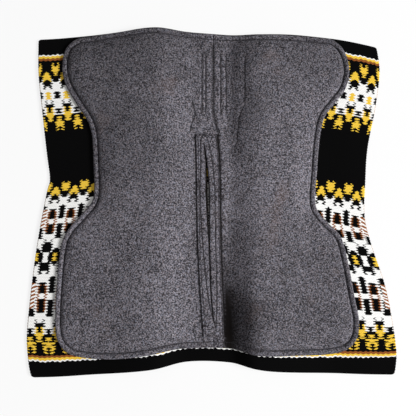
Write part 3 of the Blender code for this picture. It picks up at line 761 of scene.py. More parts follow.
def yarn_number(finish, place, u, v, from_selvage):
    """The number of the yarn that shows: columns over bands, lines at both ends, dashes at the selvage."""
    tick = toothed(finish, u, v)
    millimetres = (v + (finish.noise(place, 30.0, detail=0.0) - 0.5) * ROW_WANDER) * 1000.0
    whole = CLOTH_LENGTH * 1000
    arrow_place = abs((u / COLUMN_PITCH).part() - 0.5) * COLUMN_PITCH
    bar_place = abs((u / COLUMN_PITCH + 0.5).part() - 0.5) * COLUMN_PITCH
    arrows = read_column(finish, ARROW_COLUMN, millimetres, arrow_place, tick)
    bars = read_column(finish, BAR_COLUMN, millimetres, bar_place, tick)
    code = finish.parts(finish.hard_ramp(millimetres / whole, number_stops(GROUND_BANDS)))[0]
    swell = (u * (2 * math.pi / SWELL_LENGTH)).sine() * SWELL_SHARE
    ripple = ((u * (2 * math.pi / RIPPLE_LENGTH)).sine() + swell) * RIPPLE_MILLIMETRES
    ends = finish.hard_ramp((millimetres + ripple) / whole, number_stops(END_LINES))
    for layer in (arrows, bars, finish.parts(ends)[0]):
        code = layer + (1.0 - (layer > HALF_STEP)) * code
    rows = finish.parts(finish.hard_ramp(millimetres / whole, number_stops(SELVAGE_DASHES)))[0]
    dashed = (rows > HALF_STEP) * (from_selvage < tick * DASH_TOOTH + DASH_REACH)
    dash = ((v + u * DASH_SLANT) / DASH_PITCH).part() < DASH_SHARE
    return code + dashed * (dash * (RUST - WHITE) + WHITE - code)


# %% [markdown]
# The yarn's number becomes its colour, and the relief of the weave is added: two weft rows to a tooth, each
# humped where it passes over a warp thread. Shade, fuzz and bump all come from that one relief.

# %% Woven wool
WARP_PITCH = 0.0058
YARN_LENGTH, YARN_WIDTH = 1 / 260, 1 / 700
SELVAGE_LINE = 0.0020
SELVAGE_BROWN = (0.34, 0.17, 0.065, 1)
FUZZ_GREY = (0.0030, 0.0028, 0.0028, 1)
WEAVE_DEPTH, FELT_DEPTH, CORE_DEPTH, THREAD_DEPTH = 0.0007, 0.0016, 0.0010, 0.0002


def woven_wool():
    """The blanket's finish: its pattern, its rows of weft and their fuzz."""
    finish = Finish("woven_wool_cloth", Roughness=0.95, Specular_IOR_Level=0.03)
    place = finish.attribute("cloth_place")
    u, v, selvage_and_side = finish.parts(place)
    from_selvage = selvage_and_side.part()
    u = u + (finish.noise(place, 55.0, detail=1.0) - 0.5) * COLUMN_WANDER
    code = yarn_number(finish, place, u, v, from_selvage)
    stops = [(0, YARNS[BLACK])] + [(number - HALF_STEP, yarn) for number, yarn in YARNS.items()]
    color = finish.hard_ramp(code, stops)
    selvage = (from_selvage < SELVAGE_LINE) * (code > YELLOW) * (code < RUST)
    color = finish.blend(selvage * 0.75, color, SELVAGE_BROWN)

    fine_row = v / (TOOTH / 2)
    over = (u * (2 * math.pi / WARP_PITCH) + fine_row.whole() * math.pi).sine()
    ridge = (1.0 - abs(fine_row.part() - 0.5) * 2.0).eased(0.0, 0.7)
    strands = finish.joined(u * (1 / YARN_LENGTH), v * (1 / YARN_WIDTH))
    yarn = finish.noise(strands, 1.0, detail=2.0, roughness=0.6)
    color = finish.dimmed(color, (ridge * 0.22 + 0.80) * (over * 0.04 + 0.98) * (yarn * 0.26 + 0.88))
    fuzz = (yarn - 0.45).held() * ridge * 0.9
    color = finish.blend(fuzz, color, finish.blend(1.0, color, FUZZ_GREY, "ADD"))
    finish.set("Base Color", color)
    finish.set("Normal", finish.bump(ridge * (over * 0.35 + 0.65) + yarn * 0.5, WEAVE_DEPTH, 0.75))
    return finish.material


# %% [markdown]
# ## The felt's finish
# Wool felt is a mat of fibres of many greys. Seen from a step away it has a fine grain, with a faint violet
# cast, a few rust-brown stains and specks of pale lint. Two noises of different size, both bent a little,
# give the grain and raise the nap. Broad soft fades are painted shade, darker at the shoulders, the front and
# the rear, and patches are painted light right of the strip and painted shade beside the withers. Sewn
# lines and creases are painted dark, as the shade that falls in them.

# %% Sewn lines in the felt
MARK_REACH = 0.2
MARK_SWAY = 0.0022
MARK_FADES = (0.06, 0.96)
# Sewn lines painted dark with the shade in their creases: each has a line, a width and how dark it is.
SHADED_SEWN_LINES = (
    *((((channel, WITHER_FRONT_Y), (channel, WITHER_REAR_Y)), 0.0026, 0.70) for channel in WITHER_CHANNELS),
    *((line, 0.0028, 0.72) for line in OUTER_WITHER_LINES.values()),
    (((SEAM_X, 0.420), (SEAM_X, SEAM_TURN_Y), SEAM_END, (STRIP_RIGHT[0][0], STRIP_FRONT_Y)), 0.0068, 0.62),
)


def sewn_mark(finish, place, line, width):
    """1 on a sewn line that runs from front to rear, and 0 beside it. A ramp gives the line's x at each y."""
    x, y, _ = finish.parts(place)
    front, rear = line[0][1], line[-1][1]
    share = (front - y) / (front - rear)
    stops = []
    for line_x, line_y in line:
        stops.append(((front - line_y) / (front - rear), (line_x / MARK_REACH / 2 + 0.5,) * 3 + (1,)))
    ramp = finish.node("ValToRGB", {"smooth_stops": stops}, {0: share})
    middle = (finish.parts(ramp)[0] - 0.5) * (MARK_REACH * 2)
    sway = (finish.noise(place, 60.0, detail=1.0) - 0.5) * MARK_SWAY
    near = 1.0 - abs(x - middle + sway).eased(width * 0.25, width)
    return near * share.eased(0.0, MARK_FADES[0]) * (1.0 - share.eased(MARK_FADES[1], 1.0))


# %% [markdown]
# The lining's painted shade and light, in fades and patches, are places on the pad, and everything finer is
# noise. The core is a paler mat without stains, and the thread is a dark twist that shows as slanting plies.

# %% Felts and thread
# Painted shade: how much each broad fade darkens the felt where the light falls away from it. The patches
# paint light where their gain is above 0 and shade where it is below.
PAINTED_SHADE_SHARES = {"shoulder": 0.34, "front": 0.24, "right_front": 0.20, "right_rear": 0.25, "rear_middle": 0.33}
PAINTED_LIGHT_AND_SHADE_PATCHES = (
    {"middle": (0.098, -0.185), "level": (0.0, 0.02), "reach": (0.035, 0.10), "gain": 0.18},
    {"middle": (0.070, 0.012), "level": (0.012, 0.05), "reach": (0.040, 0.11), "gain": 0.38},
    {"middle": (0.118, 0.232), "level": (0.008, 0.02), "reach": (0.045, 0.075), "gain": -0.30},
)
THREAD_TWIST = 2 * math.pi / 5200
FELT_DARK, FELT_LIGHT = (0.024, 0.0226, 0.026, 1), (0.320, 0.304, 0.348, 1)
# The next colour is the painted shade of the felt's creases, sewn lines, vent and wedges.
FELT_IN_SHADE = (0.0062, 0.0048, 0.0046, 1)
FIBRE_WEIGHT, CLOUD_WEIGHT, TONE_SHIFT = 1.9, 0.5, 0.295
WARM_TINT, COOL_TINT = (1.10, 0.99, 0.93, 1), (0.92, 1.0, 1.08, 1)
STAIN_BROWN = (0.150, 0.105, 0.090, 1)
LINT_PALE, FLECK_PALE = (0.42, 0.41, 0.42, 1), (0.34, 0.33, 0.345, 1)
CORE_DARK, CORE_LIGHT = (0.22, 0.21, 0.20, 1), (0.40, 0.385, 0.37, 1)
THREAD_DARK, THREAD_LIGHT = (0.012, 0.011, 0.013, 1), (0.045, 0.042, 0.050, 1)


def painted_felt_shade(x, y):
    """Painted shade and light on the felt, in broad soft fades and patches: below 1 where shade is painted,
    above 1 where light is.
    """
    fades = {
        "shoulder": (x * -1.0).eased(-0.05, 0.24) * y.eased(-0.10, 0.16),
        "front": y.eased(0.26, 0.44),
        "right_front": x.eased(0.05, 0.15) * y.eased(0.12, 0.38),
        "right_rear": x.eased(0.06, 0.20) * (y * -1.0).eased(-0.06, 0.20),
        "rear_middle": (y * -1.0).eased(0.345, 0.39) * (1.0 - abs(x + 0.02).eased(0.04, 0.15)),
    }
    even = 1.0
    for name, fade in fades.items():
        even = (1.0 - fade * PAINTED_SHADE_SHARES[name]) * even
    for patch in PAINTED_LIGHT_AND_SHADE_PATCHES:
        (middle_x, middle_y), level, reach = patch["middle"], patch["level"], patch["reach"]
        across = 1.0 - abs(x - middle_x).eased(level[0], reach[0])
        along = 1.0 - abs(y - middle_y).eased(level[1], reach[1])
        even = (across * along * patch["gain"] + 1.0) * even
    return even


def lining_felt():
    """The lining's finish: grain, painted shade and light, stains, lint, and painted shade in sewn lines and
    creases.
    """
    finish = Finish("charcoal_felt", Roughness=0.95, Specular_IOR_Level=0.08)
    place = finish.attribute("rest_place")
    swirl = finish.noise(place, 175.0, detail=2.0, roughness=0.6, distortion=1.5)
    fibre = finish.noise(place, 315.0, detail=0.0, roughness=0.5, distortion=0.6)
    cloud = finish.noise(place, 14.0, detail=3.0, roughness=0.6)
    tone = (swirl - 0.5) + (fibre - 0.5) * FIBRE_WEIGHT + (cloud - 0.5) * CLOUD_WEIGHT
    color = finish.blend((tone + TONE_SHIFT).held(), FELT_DARK, FELT_LIGHT)
    x, y, _ = finish.parts(place)
    # Painted shade and light, in broad fades and patches.
    color = finish.dimmed(color, painted_felt_shade(x, y))
    stain = finish.noise(place, 9.0, detail=2.0, roughness=0.5).eased(0.62, 0.78) * 0.26
    color = finish.blend(stain, color, STAIN_BROWN)
    tint = finish.noise(place, 330.0, detail=1.0, roughness=0.5, distortion=1.0).eased(0.3, 0.7)
    color = finish.blend(1.0, color, finish.blend(tint, WARM_TINT, COOL_TINT), "MULTIPLY")
    lint = finish.noise(place, 210.0, detail=0.0, roughness=0.5, distortion=3.0).eased(0.80, 0.86) * 0.55
    color = finish.blend(lint, color, LINT_PALE)
    fleck = finish.noise(place, 400.0, detail=0.0, roughness=0.5, distortion=1.5).eased(0.66, 0.76) * 0.6
    color = finish.blend(fleck, color, FLECK_PALE)
    # Painted shade, in sewn lines and creases, in the vent and in the wedges right of the strip.
    painted_shade_share = finish.stored("drawn_in", "Fac")
    for line, width, depth in SHADED_SEWN_LINES:
        painted_shade_share = painted_shade_share.math("MAXIMUM", sewn_mark(finish, place, line, width) * depth)
    finish.set("Base Color", finish.blend(painted_shade_share, color, FELT_IN_SHADE))
    finish.set("Normal", finish.bump(swirl * 0.6 + fibre * 0.4, FELT_DEPTH, 0.55))
    return finish.material


def pressed_felt():
    """The core's finish."""
    finish = Finish("pressed_core_felt", Roughness=0.95, Specular_IOR_Level=0.1)
    place = finish.attribute("rest_place")
    mat = finish.noise(place, 420.0, detail=3.0, roughness=0.6, distortion=1.2)
    color = finish.blend(mat, CORE_DARK, CORE_LIGHT)
    finish.set("Base Color", color)
    finish.set("Normal", finish.bump(mat, CORE_DEPTH, 0.5))
    return finish.material


def sewing_thread():
    """The finish of stitches and tacks."""
    finish = Finish("sewing_thread", Roughness=0.8, Specular_IOR_Level=0.2)
    place = finish.attribute("rest_place")
    x, y, z = finish.parts(place)
    ply = ((x + y + z) * (2 * math.pi / THREAD_TWIST)).sine() * 0.5 + 0.5
    color = finish.blend(ply, THREAD_DARK, THREAD_LIGHT)
    finish.set("Base Color", color)
    finish.set("Normal", finish.bump(ply, THREAD_DEPTH, 0.6))
    return finish.material


WOVEN_WOOL, LINING_FELT, PRESSED_FELT, THREAD = woven_wool(), lining_felt(), pressed_felt(), sewing_thread()
print("finishes:", [m.name for m in (WOVEN_WOOL, LINING_FELT, PRESSED_FELT, THREAD)])

# %% [markdown]
# ## A cloth from a grid
# Every cloth piece starts as a flat grid. Its lines are then moved, some to follow the piece's edge and
# some to follow its seams. Extruding the whole grid gives it a second face, and the rim between them closes
# it. The inner end is a straight cut that meets the other half, so its edges are kept sharp.


# %% Cloth helper
def grid_cloth(columns, rows, shape):
    """A closed cloth piece. shape takes grid places from 0 to 1 and whether a point is on the upper face."""
    mesh = bmesh.new()
    bmesh.ops.create_grid(mesh, x_segments=columns, y_segments=rows, size=1.0)
    made = bmesh.ops.extrude_face_region(mesh, geom=mesh.faces[:], use_keep_orig=True)
    upper = {item for item in made["geom"] if isinstance(item, bmesh.types.BMVert)}
    flags = np.array([vert in upper for vert in mesh.verts])
    places = np.array([vert.co[:2] for vert in mesh.verts]) / 2 + 0.5
    points = shape(places[:, 0], places[:, 1], flags)
    cut = places[:, 0] > 1 - 0.5 / columns
    mesh.verts.index_update()
    for edge in mesh.edges:
        if all(cut[vert.index] for vert in edge.verts):
            edge.smooth = False
    for vert, point in zip(mesh.verts, points):
        vert.co = point
    return mesh


def grid_numbers(x_share, y_share, columns, rows):
    """The numbers of the grid lines that places from 0 to 1 lie on."""
    return np.rint(x_share * columns).astype(int), np.rint(y_share * rows).astype(int)


def finished(name, mesh, material, body=None, place=None, drawn_in=None):
    """An object from a bmesh, smooth shaded, with a finish and with its resting place kept for the finish."""
    bmesh.ops.recalc_face_normals(mesh, faces=mesh.faces[:])
    for face in mesh.faces:
        face.smooth = True
    data = bpy.data.meshes.new(name)
    mesh.to_mesh(data)
    mesh.free()
    piece = bpy.data.objects.new(name, data)
    bpy.context.scene.collection.objects.link(piece)
    data.materials.append(material)
    points = np.array([vert.co for vert in data.vertices]).reshape(-1, 3)
    kept = data.attributes.new("cloth_place" if place else "rest_place", "FLOAT_VECTOR", "POINT")
    kept.data.foreach_set("vector", (place(points) if place else points).astype(np.float32).ravel())
    # Painted shade, kept as an attribute for the finish.
    if drawn_in:
        kept = data.attributes.new("drawn_in", "FLOAT", "POINT")
        kept.data.foreach_set("value", drawn_in(points).astype(np.float32))
    if body:
        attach(piece, body)
    print(name, len(data.polygons), "faces, height", round(float(points[:, 2].max()), 4))
    return piece


# %% [markdown]
# ## The blanket
# The blanket is one cloth. It is made in two halves that meet unseen under the spine. The edges are rolled
# round, and the turns of the weft make small scallops along both selvages.

# %% Blanket outlines
CORNER_LOOK = 4


def blanket_edges(side):
    """The selvage from front to rear, and the front and rear edges from the selvage to the middle."""
    selvage = smooth_line(BLANKET_LEFT if side < 0 else BLANKET_RIGHT)
    front, rear = smooth_line(BLANKET_FRONT), smooth_line(BLANKET_REAR)
    if side < 0:
        front = front[::-1]
    else:
        selvage, rear = selvage[::-1], rear[::-1]
    halves = []
    for edge in (front, rear):
        keep = edge[:, 0] * side > 0
        middle = [0, np.interp(0, edge[::-side, 0], edge[::-side, 1])]
        halves.append(np.vstack([edge[keep], middle]))
    front, rear = halves
    for end, edge in ((0, front), (-1, rear)):
        along_selvage = selvage if end == 0 else selvage[::-1]
        first, second = rounded_corner(along_selvage[CORNER_LOOK], along_selvage[0], edge[CORNER_LOOK])
        far = np.linalg.norm(along_selvage - along_selvage[0], axis=1) > CORNER_RADIUS
        far_edge = np.linalg.norm(edge - edge[0], axis=1) > CORNER_RADIUS
        eased = np.vstack([first[::-1], along_selvage[far]])
        selvage = eased if end == 0 else eased[::-1]
        if end == 0:
            front = np.vstack([second, edge[far_edge]])
        else:
            rear = np.vstack([second, edge[far_edge]])
    return selvage, front, rear


# %% [markdown]
# No cloth is beaten quite evenly. PULLED_ROWS says, for the left and the right selvage, which row of the
# chart lies at which place along the cloth, both in millimetres from the front edge, and MIDDLE_ROWS says
# it for the middle. BEATEN_UNEVENLY adds how many millimetres a selvage's rows run ahead or behind, and
# DRAWN_ASIDE how far its columns are drawn towards the middle. These last two weren't chosen by eye: a
# matching program measured how far a render's weave lay from the photograph's, and its offsets were thinned
# out and rounded, those of the rows also scaled down. All four are read with straight runs between places.

# %% How the cloth is drawn out of line
MIDDLE_ROWS = ((0, 0), (700, 700), (838, 831), (844, 838), (848.5, 846), (853, 851), (886, 886))
PULLED_ROWS = {
    -1: (
        (0, 0), (45, 37), (67, 62), (112, 107), (147.5, 143), (227, 223), (390.5, 380), (427, 418),
        (453.5, 448), (498, 498), (778, 776), (831, 831), (841, 846), (886, 886),
    ),
    1: (
        (0, 0), (107, 107), (225, 223), (390.5, 380), (431, 418), (468, 448), (507, 484), (521, 498),
        (548, 536), (586, 573), (609, 594), (625, 620), (642, 637), (682, 677), (693, 693), (732, 732),
        (778, 778), (824.5, 831), (830, 838), (837, 846), (841, 853), (886, 886),
    ),
}
BEATEN_UNEVENLY = {
    -1: (
        (0, 0), (119, -3), (151, -1), (214, -4), (246, -2), (373, -6), (405, 0.5), (436, 0.5), (468, -4),
        (532, -3), (563, -4), (627, 0), (659, -1), (690, 0), (817, 1.5), (831, 0.5), (886, 0),
    ),
    1: (
        (0, 0), (67, 4), (100, 1), (132, -1.5), (165, -4.5), (197, -5.5), (229, -2), (359, -2),
        (391, -5.5), (424, -7), (456, -4), (521, -5.5), (553, -5), (586, 0), (650, 0.5), (683, -1.5),
        (715, -1), (748, 1.5), (812, 2.5), (824.5, 0), (886, 0),
    ),
}
DRAWN_ASIDE = {
    -1: (
        (0, 0), (120, 2.0), (246, 4.0), (372, 7.0), (403, 1.2), (435, -1.5), (540, -3.2), (592, -0.5),
        (886, 0),
    ),
    1: (
        (0, 2), (60, 5.5), (110, 5.5), (160, 4.5), (246, 4.5), (372, 2.6), (403, 3.4), (450, 2.0),
        (498, -3.6), (550, -3.2), (592, -5.0), (812, -4.0), (886, -2.0),
    ),
}
COLUMNS_TO_SPINE = 9
REAR_DRIFT = 0.010
ASIDE_EASE = 0.024


def read_table(rows, down):
    """What a table of millimetres says at a share of the cloth's length, in metres."""
    return np.interp(down * CLOTH_LENGTH * 1000, *zip(*rows)) / 1000


def edge_y(edge, x):
    """y of the front or rear edge at distances from the spine."""
    order = np.argsort(np.abs(edge[:, 0]))
    return np.interp(np.abs(x), np.abs(edge[order, 0]), edge[order, 1])


def weaver_places(side, selvage, front, rear, points):
    """Places on the cloth as the finish reads them: across from the selvage, along from the front edge, and
    the true distance from the selvage, with 1 added on the right so that its unevenness isn't the left's."""
    width = np.interp(points[:, 1], selvage[::-1, 1], np.abs(selvage[::-1, 0]))
    y_front, y_rear = edge_y(front, points[:, 0]), edge_y(rear, points[:, 0])
    down = (y_front - points[:, 1]) / (y_front - y_rear)
    from_selvage = width - np.abs(points[:, 0])
    s = from_selvage / width
    drift = REAR_DRIFT * smoothstep((down - 0.5) / 0.5) * (1 - s)
    u = from_selvage + (COLUMNS_TO_SPINE * COLUMN_PITCH - width) * s**2 - drift
    u = u + read_table(DRAWN_ASIDE[side], down) * smoothstep(from_selvage / ASIDE_EASE)
    at_selvage = read_table(PULLED_ROWS[side], down) + read_table(BEATEN_UNEVENLY[side], down)
    v = at_selvage * (1 - s) + read_table(MIDDLE_ROWS, down) * s
    return np.stack([u, v, np.maximum(from_selvage, 0) + (side > 0)], -1)


# %% [markdown]
# A half is a net spread between its four edges. Its lines lie close together at the rim, where the cloth is
# rolled round. The scallops of the selvage and a slight unevenness of the weft are added to that.

# %% Half a blanket
RIM_PLACES = (0, 0.0002, 0.0007, 0.0015, 0.0025, 0.0036, 0.005, 0.0075)
CLOTH_COLUMNS, CLOTH_ROWS = 62, 460
RIM_ROUND = 0.0034
SCALLOP_DEPTH, SCALLOP_REACH = 0.0007, 0.003
UNEVEN_WEFT, WEFT_LOW = 0.00018, 0.0002
WELD = 0.00001


def rimmed_shares(count, width, both_ends):
    """Shares from 0 to 1 whose first lines, and last where asked, are close to the edge."""
    near = np.array(RIM_PLACES) / width
    if both_ends:
        middle = np.linspace(near[-1], 1 - near[-1], count + 1 - 2 * (len(near) - 1))
        return np.concatenate([near[:-1], middle, 1 - near[-2::-1]])
    return np.concatenate([near[:-1], np.linspace(near[-1], 1, count + 1 - (len(near) - 1))])


def filled_in(selvage, front, rear, spine, across, along):
    """A flat net of places, spread evenly between its four edges."""
    left, right = spread_along(selvage, along), spread_along(spine, along)
    top, bottom = spread_along(front, across), spread_along(rear, across)
    s, t = across[:, None, None], along[None, :, None]
    corners = (1 - s) * ((1 - t) * left[0] + t * left[-1]) + s * ((1 - t) * right[0] + t * right[-1])
    return (1 - s) * left[None] + s * right[None] + (1 - t) * top[:, None] + t * bottom[:, None] - corners


def flat_area(ring):
    """Area inside a closed line."""
    x, y = ring.T
    return abs(np.sum(x * np.roll(y, -1) - y * np.roll(x, -1))) / 2


def half_blanket(side):
    """One half of the blanket, and its flat area."""
    selvage, front, rear = blanket_edges(side)
    spine = np.array([[0, front[-1][1]], [0, rear[-1][1]]])
    across = rimmed_shares(CLOTH_COLUMNS, PAD_WIDTH / 2, False)
    along = rimmed_shares(CLOTH_ROWS, PAD_LENGTH, True)
    flat = filled_in(selvage, front, rear, spine, across, along)
    inward = np.minimum(across[:, None] * PAD_WIDTH / 2, np.minimum(along, 1 - along)[None] * PAD_LENGTH)
    rows = along * CLOTH_LENGTH / TOOTH
    scallop = SCALLOP_DEPTH * (1 - 2 * np.abs(rows - np.floor(rows) - 0.5) * 2)
    flat[..., 0] += side * scallop * np.exp(-across[:, None] * PAD_WIDTH / 2 / SCALLOP_REACH)

    def shape(x_share, y_share, upper):
        i, j = grid_numbers(x_share, y_share, CLOTH_COLUMNS, CLOTH_ROWS)
        x, y = flat[i, j].T
        roll = np.clip(1 - inward[i, j] / RIM_ROUND, 0, 1)
        half = BLANKET_THICKNESS / 2 * np.sqrt(np.maximum(1 - roll**2, 0))
        uneven = UNEVEN_WEFT * waves(x, y, seed=3, shortest=0.006, longest=0.02, count=4)
        z = ground(x, y) + BLANKET_THICKNESS / 2 + np.where(upper, half + uneven - WEFT_LOW, -half)
        return np.stack([x, y, z], -1)

    def cloth_place(points):
        return weaver_places(side, selvage, front, rear, points)

    name = "blanket_left_half" if side < 0 else "blanket_right_half"
    mesh = grid_cloth(CLOTH_COLUMNS, CLOTH_ROWS, shape)
    bmesh.ops.remove_doubles(mesh, verts=mesh.verts[:], dist=WELD)
    ring = np.vstack([selvage, rear[1:], spine[:1], front[::-1][1:]])
    return finished(name, mesh, WOVEN_WOOL, place=cloth_place), flat_area(ring)


blankets = {}
blanket_areas = {}
for side_name, side in SIDES.items():
    blankets[side_name], blanket_areas[side_name] = half_blanket(side)
print("flat areas", {name: round(float(area), 4) for name, area in blanket_areas.items()})

# %% [markdown]
# ## The felt panels
# A panel's grid has one set of lines that follow its edge inwards, so that the rounded border and the sewn
# groove come out clean, and another set that runs like ribs from the edge to the seam. A core of pressed
# felt fills the pocket under each panel.

# %% Panel outlines
FELT_LINE = smooth_line(FELT_OUTLINE, closed=True)
BORDER_PLACES = (
    0, 0.0003, 0.0009, 0.0018, 0.0029, 0.0042, 0.006, 0.008, 0.0098, 0.0113, 0.0124, 0.0133, 0.0141, 0.0149,
    0.0157, 0.0166, 0.0177, 0.019, 0.021, 0.0235, 0.026,
)
GROOVE_PLACE = 0.0145
RIB_COUNT = 320
RIB_SLANT, CORE_SLANT = 0.050, 0.10
RIB_EASE = 8
EDGE_POINTS, CORE_EDGE_POINTS, NET_EDGE_POINTS = 1600, 1200, 500


def panel_edge(side):
    """One panel's outer edge, from the seam at the front to the seam at the rear."""
    line = FELT_LINE if side < 0 else FELT_LINE[::-1]
    keep = (line[:, 0] - SEAM_X) * side > 0
    start = next(i for i in range(len(line)) if keep[i] and not keep[i - 1])
    run = [line[(start + i) % len(line)] for i in range(int(keep.sum()))]
    before, after = line[start - 1], line[(start + int(keep.sum())) % len(line)]
    ends = []
    for inner, outer in ((run[0], before), (run[-1], after)):
        t = (SEAM_X - inner[0]) / (outer[0] - inner[0])
        ends.append(inner + (outer - inner) * t)
    return np.array([ends[0], *run, ends[1]])


def edge_points(side, count):
    """Points on one panel's outer edge, evenly spread."""
    return spread_along(panel_edge(side), np.linspace(0, 1, count))


def panel_ribs(side, slant, inner_x):
    """Edge points, inward directions and inner ends of the ribs. The first and last ribs slant outwards."""
    edge = edge_points(side, RIB_COUNT + 1)
    along = np.gradient(edge, axis=0)
    along /= np.linalg.norm(along, axis=1)[:, None]
    inward = np.stack([along[:, 1], -along[:, 0]], -1) * side
    ribs = np.arange(RIB_COUNT + 1)
    straight = np.zeros_like(inward)
    straight[:, 1] = np.where(ribs < RIB_COUNT / 2, -1, 1)
    share = smoothstep(np.minimum(ribs, ribs[::-1]) / RIB_EASE)[:, None]
    inward = inward * share + straight * (1 - share)
    inward /= np.linalg.norm(inward, axis=1)[:, None]
    ys = np.linspace(edge[0, 1] - slant, edge[-1, 1] + slant, RIB_COUNT + 1)
    return edge, inward, np.stack([inner_x(ys), ys], -1)


def distance_to_edge(x, y, edge):
    """Distance from points to the nearest of an edge's points."""
    tree = KDTree(len(edge))
    for index, point in enumerate(edge):
        tree.insert((*point, 0), index)
    tree.balance()
    return np.array([tree.find((*point, 0))[2] for point in zip(x, y)])


# %% [markdown]
# ## Filling the pockets
# A filled pocket is never as even as a formula. So a coarse net of each panel is blown up for twenty frames
# by Blender's cloth solver, while it is pinned along the groove, beside the spine and on the outer wither
# line. Only the rise of the net is kept, held to a few millimetres, and felt, core and thread all take it
# over. The fine mesh itself isn't simulated, because that would blur its groove and take minutes.

# %% Cloth simulation of the filling
NET_COLUMNS, NET_ROWS = 52, 101
NET_EDGE, NET_FREE_FROM = 0.0165, 0.027
NET_FOLD_HOLD, NET_SEAM_HOLD = 0.012, 0.006
NET_FRAMES = 20
NET_PRESSURE, NET_BENDING, NET_SHRINK = 2.5, 0.5, -0.004
RISE_CAP = 0.003


def is_inside(x, y, ring):
    """Whether points are inside a closed line: a ray to the right crosses it an odd number of times."""
    start, end = ring, np.roll(ring, -1, axis=0)
    crosses = (start[:, 1] > y[:, None]) != (end[:, 1] > y[:, None])
    slope = (end[:, 0] - start[:, 0]) / (end[:, 1] - start[:, 1] + 1e-12)
    return (crosses & (x[:, None] < slope * (y[:, None] - start[:, 1]) + start[:, 0])).sum(1) % 2 == 1


def blown_up(net, pins):
    """How far each knot of a net rises while the cloth solver blows it up."""
    net.vertex_groups.new(name="pins").add(pins, 1.0, "REPLACE")
    cloth = net.modifiers.new("cloth", "CLOTH")
    cloth.settings.vertex_group_mass = "pins"
    cloth.settings.bending_stiffness = NET_BENDING
    cloth.settings.use_pressure = True
    cloth.settings.uniform_pressure_force = NET_PRESSURE
    cloth.settings.shrink_min = NET_SHRINK
    cloth.settings.effector_weights.gravity = 0
    cloth.collision_settings.use_collision = False
    cloth.point_cache.frame_start, cloth.point_cache.frame_end = 1, NET_FRAMES
    for frame_number in range(1, NET_FRAMES + 1):
        bpy.context.scene.frame_set(frame_number)
    settled = net.evaluated_get(bpy.context.evaluated_depsgraph_get()).data
    return np.array([after.co.z - before.co.z for after, before in zip(settled.vertices, net.data.vertices)])


def filled_net(side_name):
    """How far each knot of a regular net rises when the panel is filled, in metres."""
    side = SIDES[side_name]
    mesh = bmesh.new()
    bmesh.ops.create_grid(mesh, x_segments=NET_COLUMNS, y_segments=NET_ROWS, size=1.0)
    shares = np.array([vert.co[:2] for vert in mesh.verts])
    x, y = side * (shares[:, 0] + 1) / 2 * PAD_WIDTH / 2, shares[:, 1] * PAD_LENGTH / 2
    ring = edge_points(side, NET_EDGE_POINTS)
    near = distance_to_edge(x, y, ring)
    keep = is_inside(x, y, ring) & (near > NET_EDGE)
    pinned = (near < NET_FREE_FROM) | (np.abs(x) < FOLD_HALF + NET_FOLD_HOLD)
    pinned |= distance_to_line(x, y, OUTER_WITHER_LINES[side_name]) < NET_SEAM_HOLD
    for vert, *place in zip(mesh.verts, x, y, FELT_BASE + formed_height(x, y, near)):
        vert.co = place
    outside = [vert for vert, kept in zip(mesh.verts, keep) if not kept]
    bmesh.ops.delete(mesh, geom=outside, context="VERTS")
    if sum(face.normal.z for face in mesh.faces) < 0:
        bmesh.ops.reverse_faces(mesh, faces=mesh.faces[:])
    data = bpy.data.meshes.new("net")
    mesh.to_mesh(data)
    mesh.free()
    net = bpy.data.objects.new("net", data)
    bpy.context.scene.collection.objects.link(net)
    found = blown_up(net, np.flatnonzero(pinned[keep]).tolist())
    bpy.data.objects.remove(net)
    bpy.data.meshes.remove(data)
    bpy.context.scene.frame_set(1)
    rise = np.zeros((NET_COLUMNS + 1, NET_ROWS + 1))
    knots = np.rint((shares[keep] + 1) / 2 * (NET_COLUMNS, NET_ROWS)).astype(int)
    rise[knots[:, 0], knots[:, 1]] = RISE_CAP * np.tanh(found / RISE_CAP)
    highest, kept_highest = round(found.max() * 1000, 1), round(rise.max() * 1000, 1)
    print(side_name, "net:", len(found), "knots rise up to", highest, "mm, kept", kept_highest, "mm")
    return rise


RISES = {side_name: filled_net(side_name) for side_name in SIDES}


def spline_shares(place, count):
    """The knot nearest to a place, and what it and its two neighbours give to it."""
    knot = np.clip(np.rint(place), 1, count - 1).astype(int)
    past = np.clip(place - knot, -0.5, 0.5)
    return knot, (0.5 * (0.5 - past) ** 2, 0.75 - past**2, 0.5 * (0.5 + past) ** 2)


def risen(x, y):
    """The rise at any place: a smooth surface through the knots of the net."""
    across = np.abs(x) / (PAD_WIDTH / 2) * NET_COLUMNS
    if np.any(x > 0) and np.any(x < 0):
        return np.where(x < 0, risen(np.minimum(x, -1e-9), y), risen(np.maximum(x, 0), y))
    rise = RISES["left" if np.any(x < 0) else "right"]
    column, column_shares = spline_shares(across, NET_COLUMNS)
    row, row_shares = spline_shares((y / PAD_LENGTH + 0.5) * NET_ROWS, NET_ROWS)
    total = 0
    for i in range(3):
        for j in range(3):
            total = total + column_shares[i] * row_shares[j] * rise[column + i - 1, row + j - 1]
    return total


def felt_height(x, y, inward):
    """Thickness of felt and core over the blanket, formed and filled."""
    return formed_height(x, y, inward) + risen(x, y)


# %% [markdown]
# A rib runs straight inwards through the border and the groove, and then turns towards the seam.

# %% Ribs from the edge to the seam
BODY_SHARE = 0.80
BODY_COUNT, SPINE_COUNT = 30, 30
CORE_BODY_COUNT, CORE_SPINE_COUNT = 14, 10


def rib_grid(side, borders, slant, inner_x, body, spine):
    """Places of all grid points, by line inwards and by rib."""
    edge, inward, inner = panel_ribs(side, slant, inner_x)
    rings = edge[None] + inward[None] * np.array(borders)[:, None, None]
    body_shares, spine_shares = np.linspace(0, BODY_SHARE, body + 1), np.linspace(BODY_SHARE, 1, spine + 1)
    shares = np.concatenate([body_shares[1:], spine_shares[1:]])[:, None, None]
    return np.concatenate([rings, rings[-1][None] * (1 - shares) + inner[None] * shares])


def distances_inward(grid, edge):
    """How far every grid point lies inward from a panel's edge."""
    return distance_to_edge(grid[..., 0].ravel(), grid[..., 1].ravel(), edge).reshape(grid.shape[:2])
